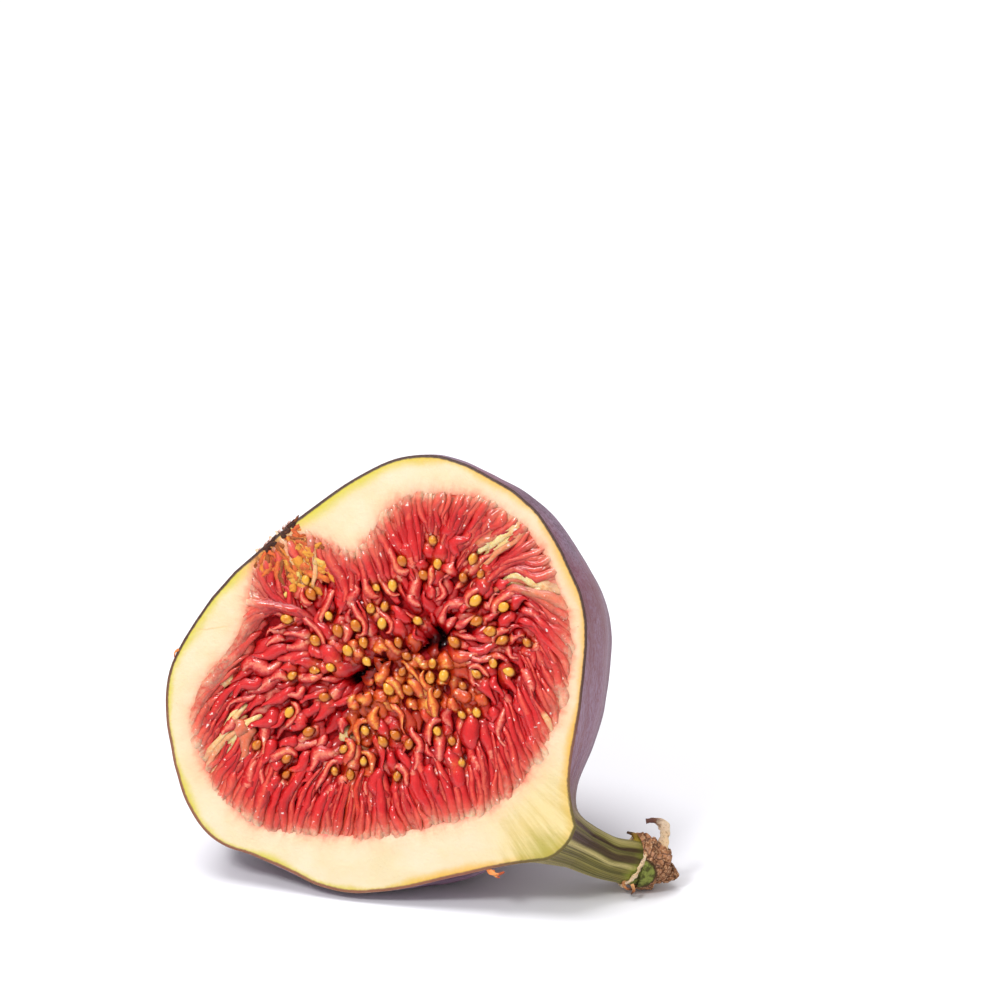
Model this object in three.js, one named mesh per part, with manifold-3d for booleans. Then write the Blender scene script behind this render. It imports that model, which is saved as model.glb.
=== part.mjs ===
// Half of a fresh fig, cut lengthwise just in front of its stalk, lying on its skin with the cut face
// leaning back. Millimetres. The fig is modelled in the frame of its cut face and then laid down: x runs to
// the right along the face, y up the face, and z out of it, so all that the knife left is behind z = 0.
import * as THREE from "three";
import { mergeVertices } from "three/addons/utils/BufferGeometryUtils.js";
import Module from "manifold-3d";

const wasm = await Module();
wasm.setup();

// How the half lies
const faceTurn = THREE.MathUtils.degToRad(15); // the face looks this far to the left of straight ahead
const faceLean = THREE.MathUtils.degToRad(20); // and this far above the horizontal
const floorDrop = 25.3; // from the middle of the face straight down to the surface it lies on
const sagLevel = 25.6; // soft flesh under this drop is pressed up by the surface
const sagBlend = 0.8; // how gradually that pressing starts

// The fruit along its axis, which runs in the face from the neck to the eye
const neck = new THREE.Vector2(24.0, -16.8);
const eye = new THREE.Vector2(-16.0, 14.1);
const backFlattening = 0.86; // the hidden side is a little flatter than round
const backFullness = 2.3; // and squarer: 2 is round
const around = 48; // points round each ring
const ribCount = 12;
const ribHeight = 0.22;

// Distance from the neck, half width above the axis, half width below it, and how far the axis lies behind
// the cut
const profile = [
  [0, 2.3, 3.2, 2.2],
  [2, 3.7, 5.6, 1.0],
  [4, 5.4, 8.3, 2.3],
  [6, 7.7, 11.2, 5.3],
  [8, 11.0, 14.3, 6.4],
  [10, 14.2, 17.5, 6.3],
  [12, 17.0, 20.2, 6.2],
  [14, 19.4, 22.5, 6.0],
  [17, 22.0, 24.4, 5.3],
  [21, 24.0, 25.8, 4.6],
  [26, 25.5, 27.7, 3.7],
  [31, 25.7, 29.4, 2.8],
  [36, 24.7, 28.8, 2.1],
  [40, 23.3, 26.7, 1.8],
  [43, 21.2, 24.6, 1.7],
  [45.5, 18.0, 22.6, 1.6],
  [47.5, 12.8, 20.4, 1.5],
  [48.8, 7.2, 18.2, 1.4],
  [49.6, 3.0, 15.5, 1.35],
  [50.2, -1.5, 12.0, 1.3],
  [50.6, -4.5, 8.6, 1.3],
];
const ringStations = [
  0, 1, 2, 3.2, 4.4, 5.6, 6.8, 8, 9.4, 10.8, 12.2, 13.8, 15.6, 17.6, 20, 22.6, 25.4, 28.4, 31.4, 34.4, 37.2,
  39.8, 42, 43.8, 45.4, 46.8, 47.9, 48.8, 49.5, 50.1, 50.6,
];

// The stalk, from its dried end to the neck: centre and radius of each ring
const stalk = [
  [35.15, -19.75, -12.1, 0.6],
  [34.6, -20.1, -12.0, 1.15],
  [33.95, -19.95, -11.8, 1.8],
  [33.3, -19.7, -11.6, 2.45],
  [32.15, -19.6, -11.3, 3.0],
  [31.0, -19.45, -10.9, 3.15],
  [30.45, -19.45, -10.65, 3.0],
  [30.05, -19.6, -10.4, 2.6],
  [28.45, -19.3, -9.1, 2.62],
  [26.85, -18.85, -7.6, 2.7],
  [24.95, -17.95, -5.6, 2.9],
];
const stalkTurnLength = 4; // the last rings swing round from the stalk's own line to the fruit's axis

// The pulp inside the wall: its edge on the cut face, clockwise from the eye
const pulpEdge = [
  [-13.2, 14.6],
  [-11.2, 15.5],
  [-8.0, 15.0],
  [-4.7, 13.8],
  [-2.6, 15.8],
  [-0.7, 19.3],
  [2.4, 21.4],
  [6.4, 22.0],
  [11.0, 21.6],
  [15.3, 19.5],
  [18.4, 16.2],
  [20.9, 11.8],
  [22.5, 6.8],
  [22.6, 2.0],
  [21.6, -3.0],
  [19.2, -9.0],
  [15.6, -13.3],
  [10.8, -15.7],
  [4.4, -17.9],
  [-1.8, -19.0],
  [-8.2, -19.3],
  [-13.6, -18.7],
  [-17.9, -15.9],
  [-21.0, -11.4],
  [-22.3, -7.0],
  [-21.2, -3.0],
  [-18.6, 0.8],
  [-17.0, 4.4],
  [-16.4, 7.8],
  [-16.2, 11.2],
];
const pulpDepth = 22.5;
const pulpGap = 0.3; // between the pulp and the wall it fills
const bedDrop = 0.9; // the pulp's ground lies this far behind the cut, under the florets
const hollowStart = new THREE.Vector2(-2.9, -0.3); // the fig's empty middle, a crease from here
const hollowEnd = new THREE.Vector2(6.7, 5.2);
const hollowDepth = 2.6;
const hollowWidth = 2.4;

// Florets and seeds. Each row has its count, where its florets start and end on the way from the wall to
// the middle (0 to 1), their radius, and how many of them carry a seed at their inner end.
const floretRows = [
  { count: 40, from: 0.06, to: 0.37, radius: 0.98, seeds: 0.35 },
  { count: 29, from: 0.3, to: 0.64, radius: 0.92, seeds: 0.7 },
  { count: 17, from: 0.57, to: 0.9, radius: 0.86, seeds: 0.8 },
];
const floretSteps = 3;
const floretHeight = 0.95; // the knife left them level with the cut, or nearly
const sunk = 1.6; // how far a floret's foot reaches down into the pulp
const seedSize = new THREE.Vector3(0.78, 0.62, 0.58); // half length, half width, half height
const seedRise = 0.75; // a seed's middle over the pulp's ground
const seedOfTheDraws = 20;

// Random numbers that come out the same every time
function seededDraws(state) {
  return () => {
    state = (state + 0x6d2b79f5) | 0;
    let t = Math.imul(state ^ (state >>> 15), 1 | state);
    t = (t + Math.imul(t ^ (t >>> 7), 61 | t)) ^ t;
    return ((t ^ (t >>> 14)) >>> 0) / 4294967296;
  };
}
const draw = seededDraws(seedOfTheDraws);
const drawBetween = (low, high) => low + (high - low) * draw();

// Closed solids from rings of points, and the way between three.js geometry and manifold solids
function loft(rings) {
  const points = rings.flat();
  const count = rings[0].length;
  const index = [];
  for (let i = 0; i + 1 < rings.length; i++) {
    for (let j = 0; j < count; j++) {
      const a = i * count + j;
      const b = i * count + ((j + 1) % count);
      index.push(a, b, b + count, a, b + count, a + count);
    }
  }
  const middle = (ring) => ring.reduce((sum, p) => sum.add(p), new THREE.Vector3()).divideScalar(ring.length);
  const first = points.push(middle(rings[0])) - 1;
  const last = points.push(middle(rings[rings.length - 1])) - 1;
  const lastRing = (rings.length - 1) * count;
  for (let j = 0; j < count; j++) {
    const next = (j + 1) % count;
    index.push(first, next, j);
    index.push(last, lastRing + j, lastRing + next);
  }
  const geometry = new THREE.BufferGeometry().setFromPoints(points);
  geometry.setIndex(index);
  return geometry;
}

function solidOf(geometry) {
  const bare = geometry.clone();
  bare.deleteAttribute("normal");
  bare.deleteAttribute("uv");
  const merged = mergeVertices(bare, 1e-3);
  return new wasm.Manifold(
    new wasm.Mesh({
      numProp: 3,
      vertProperties: new Float32Array(merged.attributes.position.array),
      triVerts: new Uint32Array(merged.index.array),
    }),
  );
}

function geometryOf(solid) {
  const mesh = solid.getMesh();
  const geometry = new THREE.BufferGeometry();
  geometry.setAttribute("position", new THREE.BufferAttribute(mesh.vertProperties, 3));
  geometry.setIndex(new THREE.BufferAttribute(mesh.triVerts, 1));
  geometry.computeVertexNormals();
  return geometry;
}

const joined = (solids) => solids.reduce((whole, one) => whole.add(one));

// Drops the slivers that fusing leaves, and then keeps the largest body: loose scraps go, and sealed pockets
// are filled. Corners that merge can seal another pocket, so it runs until there is none.
const sliver = 0.03;
function largestPiece(solid) {
  let pieces = solid.simplify(sliver).decompose();
  do {
    const [largest] = pieces.sort((a, b) => b.volume() - a.volume());
    pieces = solidOf(geometryOf(largest)).decompose();
  } while (pieces.length > 1);
  return pieces[0];
}

// A smooth line through the rows of a table whose first column is the distance along the fruit
function valueAt(table, column, s) {
  const last = table.length - 1;
  let i = 0;
  while (i < last - 1 && s > table[i + 1][0]) i++;
  const slope = (k) => {
    const before = table[Math.max(k - 1, 0)];
    const after = table[Math.min(k + 1, last)];
    return (after[column] - before[column]) / (after[0] - before[0]);
  };
  const span = table[i + 1][0] - table[i][0];
  const t = (s - table[i][0]) / span;
  const start = table[i][column];
  const end = table[i + 1][column];
  return (
    start * (1 + 2 * t) * (1 - t) ** 2 +
    end * t * t * (3 - 2 * t) +
    slope(i) * span * t * (1 - t) ** 2 -
    slope(i + 1) * span * t * t * (1 - t)
  );
}

// The fruit's axis and the direction across it, both in the cut face
const axis = new THREE.Vector3(eye.x - neck.x, eye.y - neck.y, 0).normalize();
const across = new THREE.Vector3(-axis.y, axis.x, 0).multiplyScalar(-1);

// The surface it lies on, seen from the face's own frame
const upwards = new THREE.Vector3(0, Math.cos(faceLean), Math.sin(faceLean));

// Presses a point of the soft fruit up where the surface carries it
function pressed(point, softness) {
  const height = point.dot(upwards);
  const over = (height + sagLevel) / sagBlend;
  const settled = -sagLevel + sagBlend * Math.log1p(Math.exp(over));
  return point.addScaledVector(upwards, (settled - height) * softness);
}

// How much fuller than round the hidden side is between its flattened back and its flanks
function fullness(angle) {
  const sum = Math.abs(Math.cos(angle)) ** backFullness + Math.abs(Math.sin(angle)) ** backFullness;
  return sum ** (-1 / backFullness);
}

// One ring of the fruit: round its axis, wider on the side where the profile is wider, with low ribs
function fruitRing(s) {
  const upper = valueAt(profile, 1, s);
  const lower = valueAt(profile, 2, s);
  const behind = valueAt(profile, 3, s);
  const halfWidth = (upper + lower) / 2;
  const radius = Math.hypot(halfWidth, behind);
  const centre = new THREE.Vector3(neck.x, neck.y, -behind)
    .addScaledVector(axis, s)
    .addScaledVector(across, (upper - lower) / 2);
  const ribs = ribHeight * THREE.MathUtils.smoothstep(s, 1, 9) * (1 - THREE.MathUtils.smoothstep(s, 38, 50));
  const softness = THREE.MathUtils.smoothstep(s, 2, 10);
  const ring = [];
  for (let j = 0; j < around; j++) {
    const angle = (2 * Math.PI * j) / around;
    const behindAxis = Math.sin(angle) > 0;
    const reach = (radius + ribs * Math.cos(ribCount * angle)) * (behindAxis ? fullness(angle) : 1);
    const depth = Math.sin(angle) * (behindAxis ? backFlattening : 1);
    const point = centre.clone().addScaledVector(across, reach * Math.cos(angle));
    point.z -= reach * depth;
    ring.push(pressed(point, softness));
  }
  return ring;
}

// One ring of the stalk, square to the stalk's own line near its end, and turning to the fruit's axis at the
// neck
function stalkRing(k) {
  const [x, y, z, radius] = stalk[k];
  const before = stalk[Math.max(k - 1, 0)];
  const after = stalk[Math.min(k + 1, stalk.length - 1)];
  const line = new THREE.Vector3(after[0] - before[0], after[1] - before[1], after[2] - before[2]);
  line.normalize();
  const turned = THREE.MathUtils.smoothstep(k, stalk.length - stalkTurnLength, stalk.length + 1);
  line.lerp(axis, turned).normalize();
  const side = across.clone().addScaledVector(line, -across.dot(line)).normalize();
  const back = new THREE.Vector3().crossVectors(line, side);
  const ring = [];
  for (let j = 0; j < around; j++) {
    const angle = (2 * Math.PI * j) / around;
    const ridges = 1 + 0.035 * Math.cos(6 * angle);
    ring.push(
      new THREE.Vector3(x, y, z)
        .addScaledVector(side, radius * ridges * Math.cos(angle))
        .addScaledVector(back, radius * ridges * Math.sin(angle)),
    );
  }
  return ring;
}

const wholeFig = solidOf(loft([...stalk.map((_, k) => stalkRing(k)), ...ringStations.map(fruitRing)]));

// A thin dried scale: a strip with square edges along a few points, tapering to its tip
function scale(points, width, thickness, sideways) {
  const curve = new THREE.CatmullRomCurve3(points.map((p) => new THREE.Vector3(...p)));
  const steps = 6;
  const rings = [];
  for (let i = 0; i <= steps; i++) {
    const t = i / steps;
    const line = curve.getTangent(t);
    const flat = new THREE.Vector3(...sideways);
    flat.addScaledVector(line, -line.dot(flat));
    flat.normalize().multiplyScalar((width / 2) * (1 - 0.62 * t * t));
    const thick = new THREE.Vector3().crossVectors(line, flat).normalize().multiplyScalar(thickness / 2);
    const centre = curve.getPoint(t);
    rings.push([
      centre.clone().add(flat).add(thick),
      centre.clone().sub(flat).add(thick),
      centre.clone().sub(flat).sub(thick),
      centre.clone().add(flat).sub(thick),
    ]);
  }
  return solidOf(loft(rings));
}

// Two scales left on the stalk's end: one curled over, and one short and pointed where the node is
const curledScale = scale(
  [
    [33.4, -18.0, -11.4],
    [33.6, -16.3, -11.5],
    [33.6, -15.3, -11.5],
    [33.1, -14.6, -11.4],
    [32.2, -14.4, -11.3],
    [31.3, -14.6, -11.2],
  ],
  1.5,
  0.7,
  [1, 1, 0.3],
);
const pointedScale = scale(
  [
    [30.6, -17.6, -10.3],
    [30.5, -16.7, -10.3],
    [30.1, -16.2, -10.2],
    [29.3, -16.0, -10.1],
  ],
  1.3,
  0.7,
  [1, 1, 0.3],
);

// The eye at the fruit's far end: a ring of small scales that close its opening
function eyeScales() {
  const solids = [];
  const count = 9;
  const centre = new THREE.Vector3(eye.x, eye.y, -0.6).addScaledVector(axis, -0.35);
  for (let k = 0; k < count; k++) {
    const angle = (2 * Math.PI * (k + 0.5)) / count;
    const geometry = new THREE.SphereGeometry(1, 8, 6);
    geometry.scale(0.55, 1.25, 0.85);
    const outward = across.clone().multiplyScalar(Math.cos(angle));
    outward.z -= Math.sin(angle);
    const sideways = new THREE.Vector3().crossVectors(axis, outward);
    geometry.applyMatrix4(new THREE.Matrix4().makeBasis(axis, outward, sideways.clone()));
    geometry.translate(...centre.clone().addScaledVector(outward, 1.75));
    solids.push(solidOf(geometry));
  }
  return joined(solids);
}

// The pulp's edge as a smooth closed line, and the crease in its middle that the florets point to
const edgeCurve = new THREE.CatmullRomCurve3(
  pulpEdge.map(([x, y]) => new THREE.Vector3(x, y, 0)),
  true,
);
const pulpMiddle = hollowStart.clone().add(hollowEnd).divideScalar(2);

function nearestInHollow({ x, y }) {
  const along = hollowEnd.clone().sub(hollowStart);
  const share = new THREE.Vector2(x, y).sub(hollowStart).dot(along) / along.lengthSq();
  return hollowStart.clone().addScaledVector(along, THREE.MathUtils.clamp(share, 0.04, 0.96));
}

// The pulp's edge moved out by a margin and drawn in towards the middle
function pulpRing(share, z, margin) {
  const ring = [];
  const count = 48;
  for (let j = 0; j < count; j++) {
    const t = 1 - j / count;
    const point = edgeCurve.getPointAt(t % 1);
    const line = edgeCurve.getTangentAt(t % 1);
    point.x -= line.y * margin;
    point.y += line.x * margin;
    point.x = pulpMiddle.x + (point.x - pulpMiddle.x) * share;
    point.y = pulpMiddle.y + (point.y - pulpMiddle.y) * share;
    point.z = typeof z === "function" ? z(point) : z;
    ring.push(point);
  }
  return ring;
}

const bowlSteps = [0.16, 0.32, 0.48, 0.62, 0.75, 0.86, 0.95, 1];
function bowlRings(margin) {
  return bowlSteps.map((share) => {
    const depth = (pulpDepth + margin) * Math.sqrt(1 - share ** 2.4);
    return pulpRing(share, -Math.max(depth, bedDrop), margin);
  });
}

// The space in the wall that the pulp fills, open at the cut
const pulpSpace = solidOf(loft([...bowlRings(pulpGap), pulpRing(1, 3, pulpGap)]));

function bedHeight(point) {
  const away = new THREE.Vector2(point.x, point.y).distanceTo(nearestInHollow(point)) / hollowWidth;
  return -bedDrop - hollowDepth * Math.exp(-away * away);
}
const bedSteps = [0.86, 0.7, 0.55, 0.4, 0.26, 0.14, 0.05];
const bed = solidOf(loft([...bowlRings(0), ...bedSteps.map((share) => pulpRing(share, bedHeight, 0))]));

// A floret: a ridge with a thin root at the wall, a thicker body and a blunt inner end, swinging a little
// from side to side. Its sides go straight down into the pulp, so no pocket is left under it.
const floretSection = [
  [-1, -sunk],
  [1, -sunk],
  [0.92, 0.1],
  [0, 0.85],
  [-0.92, 0.1],
];
function floret(root, tip, radius, swing) {
  const line = tip.clone().sub(root);
  const side = new THREE.Vector3(-line.y, line.x, 0).normalize();
  const rings = [];
  for (let i = 0; i <= floretSteps; i++) {
    const t = i / floretSteps;
    const centre = root.clone().addScaledVector(line, t);
    centre.addScaledVector(side, swing * Math.sin(2 * Math.PI * t));
    const ground = bedHeight(centre);
    const thick = radius * (0.5 + 0.6 * Math.sin(Math.PI * Math.min(1, 0.1 + 0.76 * t)));
    rings.push(
      floretSection.map(([sideways, up]) => {
        const point = centre.clone().addScaledVector(side, thick * sideways);
        point.z = ground + (up < 0 ? up : Math.min(0.9 * thick * (0.35 + up), floretHeight));
        return point;
      }),
    );
  }
  return solidOf(loft(rings));
}

function seed(centre, heading) {
  const geometry = new THREE.IcosahedronGeometry(1, 0);
  geometry.scale(seedSize.x, seedSize.y, seedSize.z);
  const corners = geometry.attributes.position;
  for (let i = 0; i < corners.count; i++) {
    if (corners.getZ(i) < 0) corners.setZ(i, corners.getZ(i) * 3);
  }
  geometry.rotateZ(heading);
  geometry.translate(centre.x, centre.y, centre.z);
  return solidOf(geometry);
}

function floretsAndSeeds() {
  const solids = [];
  for (const row of floretRows) {
    for (let k = 0; k < row.count; k++) {
      const share = (k + drawBetween(-0.25, 0.25)) / row.count;
      const edge = edgeCurve.getPointAt((share + 1) % 1);
      const goal = nearestInHollow(edge);
      const on = (t) => new THREE.Vector3().lerpVectors(edge, new THREE.Vector3(goal.x, goal.y, 0), t);
      const root = on(row.from + drawBetween(-0.02, 0.05));
      const tip = on(row.to + drawBetween(-0.05, 0.05));
      solids.push(floret(root, tip, row.radius * drawBetween(0.88, 1.12), drawBetween(-0.6, 0.6)));
      if (draw() < row.seeds) {
        const beyond = tip.clone().sub(root).normalize();
        const centre = tip.clone().addScaledVector(beyond, 0.25);
        centre.z = bedHeight(centre) + seedRise;
        solids.push(seed(centre, Math.atan2(beyond.y, beyond.x) + drawBetween(-0.6, 0.6)));
      }
    }
  }
  return joined(solids);
}

// The knife takes everything in front of the face, and the surface it lies on flattens its lowest spot
const cut = { normal: [0, 0, -1], offset: 0 };
const surface = { normal: upwards.toArray(), offset: -floorDrop };
const cutFig = wholeFig.add(eyeScales()).trimByPlane(cut.normal, cut.offset).subtract(pulpSpace);
const receptacle = cutFig.add(curledScale).add(pointedScale).trimByPlane(surface.normal, surface.offset);
const pulp = bed.add(floretsAndSeeds());

const skinPurple = new THREE.MeshStandardMaterial({ color: 0x5a3f57, roughness: 0.55, metalness: 0 });
const pulpRed = new THREE.MeshStandardMaterial({ color: 0xb9202a, roughness: 0.25, metalness: 0 });

function named(name, solid, material) {
  const mesh = new THREE.Mesh(geometryOf(largestPiece(solid)), material);
  mesh.name = name;
  return mesh;
}

// The face's frame leaned and turned into place, with the surface at z = 0 and the box's middle over the
// origin
const leaned = new THREE.Group();
leaned.rotation.x = Math.PI / 2 - faceLean;
leaned.add(named("receptacle", receptacle, skinPurple), named("pulp", pulp, pulpRed));
const fig = new THREE.Group();
fig.add(leaned);
fig.rotation.z = -faceTurn;
const middle = new THREE.Box3().setFromObject(fig, true).getCenter(new THREE.Vector3());
fig.position.set(-middle.x, -middle.y, floorDrop);

const part = new THREE.Group();
part.add(fig);

export default part;
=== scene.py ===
# %% [markdown]
# # Half a fresh fig
# A fig isn't a fruit in the usual sense. It is a fleshy bag, turned outside in, whose inner wall is lined
# with hundreds of tiny florets. A lengthwise cut shows all of it: a thin plum skin, a cream wall, red
# florets that all point to an empty crease, and a golden seed at the end of many of them. This script
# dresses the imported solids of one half, and every piece is made in millimetres in the frame of the cut
# face, then laid in place.

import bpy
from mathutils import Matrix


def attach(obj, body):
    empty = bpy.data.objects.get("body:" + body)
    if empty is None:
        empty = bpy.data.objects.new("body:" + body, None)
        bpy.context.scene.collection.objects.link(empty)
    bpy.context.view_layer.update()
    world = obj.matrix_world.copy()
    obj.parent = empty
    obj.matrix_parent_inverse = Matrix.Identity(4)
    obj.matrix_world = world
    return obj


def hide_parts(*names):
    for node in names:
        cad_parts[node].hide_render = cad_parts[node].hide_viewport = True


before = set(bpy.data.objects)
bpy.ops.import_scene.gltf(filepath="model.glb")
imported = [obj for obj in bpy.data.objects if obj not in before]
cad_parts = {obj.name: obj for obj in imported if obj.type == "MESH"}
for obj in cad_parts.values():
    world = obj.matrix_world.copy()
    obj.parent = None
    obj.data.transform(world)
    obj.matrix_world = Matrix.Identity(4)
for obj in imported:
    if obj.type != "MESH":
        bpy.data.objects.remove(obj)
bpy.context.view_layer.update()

# %% Other imports
import math
import random

import bmesh
import bpy
import numpy as np
from mathutils import Matrix, Vector, noise

NOISE_SEED = 5
noise.seed_set(NOISE_SEED)  # without it, noise vectors change from run to run

# %% [markdown]
# ## The frame of the cut face
# The face looks a little to the left and leans back. Drawing on a leaning plane is hard, so x runs along
# the face, y up the face and z out of it while a piece is made, and one matrix lays the finished mesh
# down. The same turn, lean and drop stand in the part's source, so the pieces fit the solids without any
# fitting.

# %% Face frame
MM = 0.001
FACE_TURN = math.radians(15)
FACE_LEAN = math.radians(20)
FLOOR_DROP = 25.3  # mm from the middle of the face straight down to the surface
FACE_MIDDLE = Vector((-4.920, -6.848, FLOOR_DROP))
FACE_ROTATION = Matrix.Rotation(-FACE_TURN, 4, "Z") @ Matrix.Rotation(math.pi / 2 - FACE_LEAN, 4, "X")
PLACE = Matrix.Scale(MM, 4) @ Matrix.Translation(FACE_MIDDLE) @ FACE_ROTATION
UPWARDS = Vector((0, math.cos(FACE_LEAN), math.sin(FACE_LEAN)))
print("face middle, metres:", [round(c, 4) for c in PLACE.translation])

# %% [markdown]
# ## The camera
# It goes first, because the photograph fixes it: 20 degrees above the surface, and far enough away that
# the lens is a long one. The half fills the lower left of the frame.

# %% Camera
PHOTO_SIZE = 1000  # pixels
PX_PER_MM = 8.5
CAMERA_DISTANCE = 420.0
CAMERA_HEIGHT_ANGLE = math.radians(20)
FACE_IN_PHOTO = (378, 676)  # the pixel where the middle of the face shows
SENSOR = 36.0

towards_camera = Vector((0, -math.cos(CAMERA_HEIGHT_ANGLE), math.sin(CAMERA_HEIGHT_ANGLE)))
camera_up = Vector((0, math.sin(CAMERA_HEIGHT_ANGLE), math.cos(CAMERA_HEIGHT_ANGLE)))
aside = (PHOTO_SIZE / 2 - FACE_IN_PHOTO[0]) / PX_PER_MM
above = (FACE_IN_PHOTO[1] - PHOTO_SIZE / 2) / PX_PER_MM
camera_data = bpy.data.cameras.new("camera")
camera_data.sensor_width = SENSOR
camera_data.lens = SENSOR * PX_PER_MM * CAMERA_DISTANCE / PHOTO_SIZE
camera_data.clip_start = 0.01
camera = bpy.data.objects.new("camera", camera_data)
camera.location = MM * (
    FACE_MIDDLE + CAMERA_DISTANCE * towards_camera + aside * Vector((1, 0, 0)) + above * camera_up
)
camera.rotation_euler = (math.pi / 2 - CAMERA_HEIGHT_ANGLE, 0, 0)
bpy.context.collection.objects.link(camera)
bpy.context.scene.camera = camera
print("lens", round(camera_data.lens, 1), "mm at", [round(c, 3) for c in camera.location])

# %% [markdown]
# ## A small kit for finishes
# Shader nodes are sums drawn as boxes. Writing the sums in Python keeps them readable, so a small class
# wraps a socket and adds a Math node whenever two values meet in an expression. Colours go through Mix
# nodes instead, because a Math node would turn them grey.


# %% Sockets that can be added and multiplied
class Value:
    """One socket of a finish. Python's own signs add the Math nodes."""

    def __init__(self, finish, socket):
        self.finish = finish
        self.socket = socket

    def __add__(self, other):
        return self.finish.math("ADD", self, other)

    def __sub__(self, other):
        return self.finish.math("SUBTRACT", self, other)

    def __rsub__(self, other):
        return self.finish.math("SUBTRACT", other, self)

    def __mul__(self, other):
        return self.finish.math("MULTIPLY", self, other)

    def __truediv__(self, other):
        return self.finish.math("DIVIDE", self, other)

    __radd__ = __add__
    __rmul__ = __mul__

    def out(self, name):
        """Another output of the same node."""
        return Value(self.finish, self.socket.node.outputs[name])


class Finish:
    """A material that is written as expressions."""

    def __init__(self, name):
        self.material = bpy.data.materials.new(name)
        self.material.use_nodes = True
        self.nodes = self.material.node_tree.nodes
        self.links = self.material.node_tree.links
        self.shader = self.nodes["Principled BSDF"]

    def node(self, kind, settings=None, out=0, **inputs):
        made = self.nodes.new(kind)
        for key, value in (settings or {}).items():
            setattr(made, key, value)
        for key, value in inputs.items():
            spot = int(key[1:]) if key[0] == "i" and key[1:].isdigit() else key.replace("_", " ")
            self.feed(made.inputs[spot], value)
        return Value(self, made.outputs[out])

    def feed(self, socket, value):
        if isinstance(value, Value):
            self.links.new(value.socket, socket)
        else:
            socket.default_value = value

    def math(self, operation, a, b=0.0):
        return self.node("ShaderNodeMath", {"operation": operation}, i0=a, i1=b)

    def vector_math(self, operation, a, b, out=0):
        return self.node("ShaderNodeVectorMath", {"operation": operation}, out, i0=a, i1=b)

    def step(self, low, high, value):
        """0 below low, 1 above high and smooth between."""
        settings = {"interpolation_type": "SMOOTHSTEP"}
        return self.node("ShaderNodeMapRange", settings, i0=value, i1=low, i2=high, i3=0.0, i4=1.0)

    def mix(self, factor, a, b):
        """Colour a where the factor is 0, colour b where it is 1."""
        return self.node("ShaderNodeMix", {"data_type": "RGBA"}, 2, i0=factor, i6=a, i7=b)

    def noise(self, vector, scale, detail=3.0, roughness=0.55, distortion=0.0):
        return self.node(
            "ShaderNodeTexNoise",
            {"noise_dimensions": "3D"},
            Vector=vector,
            Scale=scale,
            Detail=detail,
            Roughness=roughness,
            Distortion=distortion,
        )

    def attribute(self, name, out="Fac"):
        return self.node("ShaderNodeAttribute", {"attribute_name": name}, out)

    def stretched(self, vector, x, y, z):
        return self.vector_math("MULTIPLY", vector, (x, y, z))

    def face_place(self):
        """Object coordinates turned back into millimetres on the cut face."""
        here = self.node("ShaderNodeTexCoord", out="Object")
        return self.node(
            "ShaderNodeMapping",
            {"vector_type": "TEXTURE"},
            Vector=here,
            Location=PLACE.translation[:],
            Rotation=FACE_ROTATION.to_euler()[:],
            Scale=(MM, MM, MM),
        )

    def parts(self, vector):
        split = self.node("ShaderNodeSeparateXYZ", Vector=vector)
        return split.out("X"), split.out("Y"), split.out("Z")

    def set(self, **sockets):
        for key, value in sockets.items():
            self.feed(self.shader.inputs[key.replace("_", " ")], value)

    def bump(self, height, depth):
        """Roughens the surface by a height between 0 and 1 that stands for depth millimetres."""
        normal = self.node("ShaderNodeBump", Height=height, Strength=1.0, Distance=depth * MM)
        self.set(Normal=normal)


def paint(red, green, blue):
    """A colour as picked from a screen, 0 to 255, turned into the light that shaders count in."""
    straight = []
    for part in (red, green, blue):
        share = part / 255
        straight.append(share / 12.92 if share <= 0.04045 else ((share + 0.055) / 1.055) ** 2.4)
    return (*straight, 1.0)


print("cream wall as light:", [round(c, 3) for c in paint(253, 246, 224)])

# %% [markdown]
# ## A small kit for meshes
# Nearly everything on a fruit is a tube that changes its width on the way: the fruit itself, its stalk, a
# floret. So one helper starts with a circle, and extrudes it from one ring of places to the next. A
# number kept on each vertex tells the new ring's vertices apart, because extruding doesn't promise their
# order.


# %% Extruding a ring
def start_ring(bm, places):
    number = bm.verts.layers.int.get("number") or bm.verts.layers.int.new("number")
    ring = bmesh.ops.create_circle(bm, cap_ends=False, radius=1, segments=len(places))["verts"]
    for k, vertex in enumerate(ring):
        vertex[number] = k
        vertex.co = places[k]
    return ring


def ring_edges(ring):
    inside = set(ring)
    return [edge for edge in {e for v in ring for e in v.link_edges} if inside.issuperset(edge.verts)]


def extrude_ring(bm, ring, places):
    number = bm.verts.layers.int["number"]
    made = bmesh.ops.extrude_edge_only(bm, edges=ring_edges(ring))["geom"]
    fresh = [item for item in made if isinstance(item, bmesh.types.BMVert)]
    fresh.sort(key=lambda vertex: vertex[number])
    for vertex, place in zip(fresh, places):
        vertex.co = place
    return fresh


def close_ring(bm, ring):
    middle = sum((vertex.co for vertex in ring), Vector()) / len(ring)
    tip = extrude_ring(bm, ring, [middle.lerp(vertex.co, 0.02) for vertex in ring])
    bmesh.ops.contextual_create(bm, geom=ring_edges(tip))


def loft(bm, rings):
    """A closed tube through rings of places."""
    first = start_ring(bm, rings[0])
    ring = first
    for places in rings[1:]:
        ring = extrude_ring(bm, ring, places)
    close_ring(bm, first)
    close_ring(bm, ring)


def set_layer(bm, name, value_at):
    layer = bm.verts.layers.float.get(name) or bm.verts.layers.float.new(name)
    for vertex in bm.verts:
        vertex[layer] = value_at(vertex.co)


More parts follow.
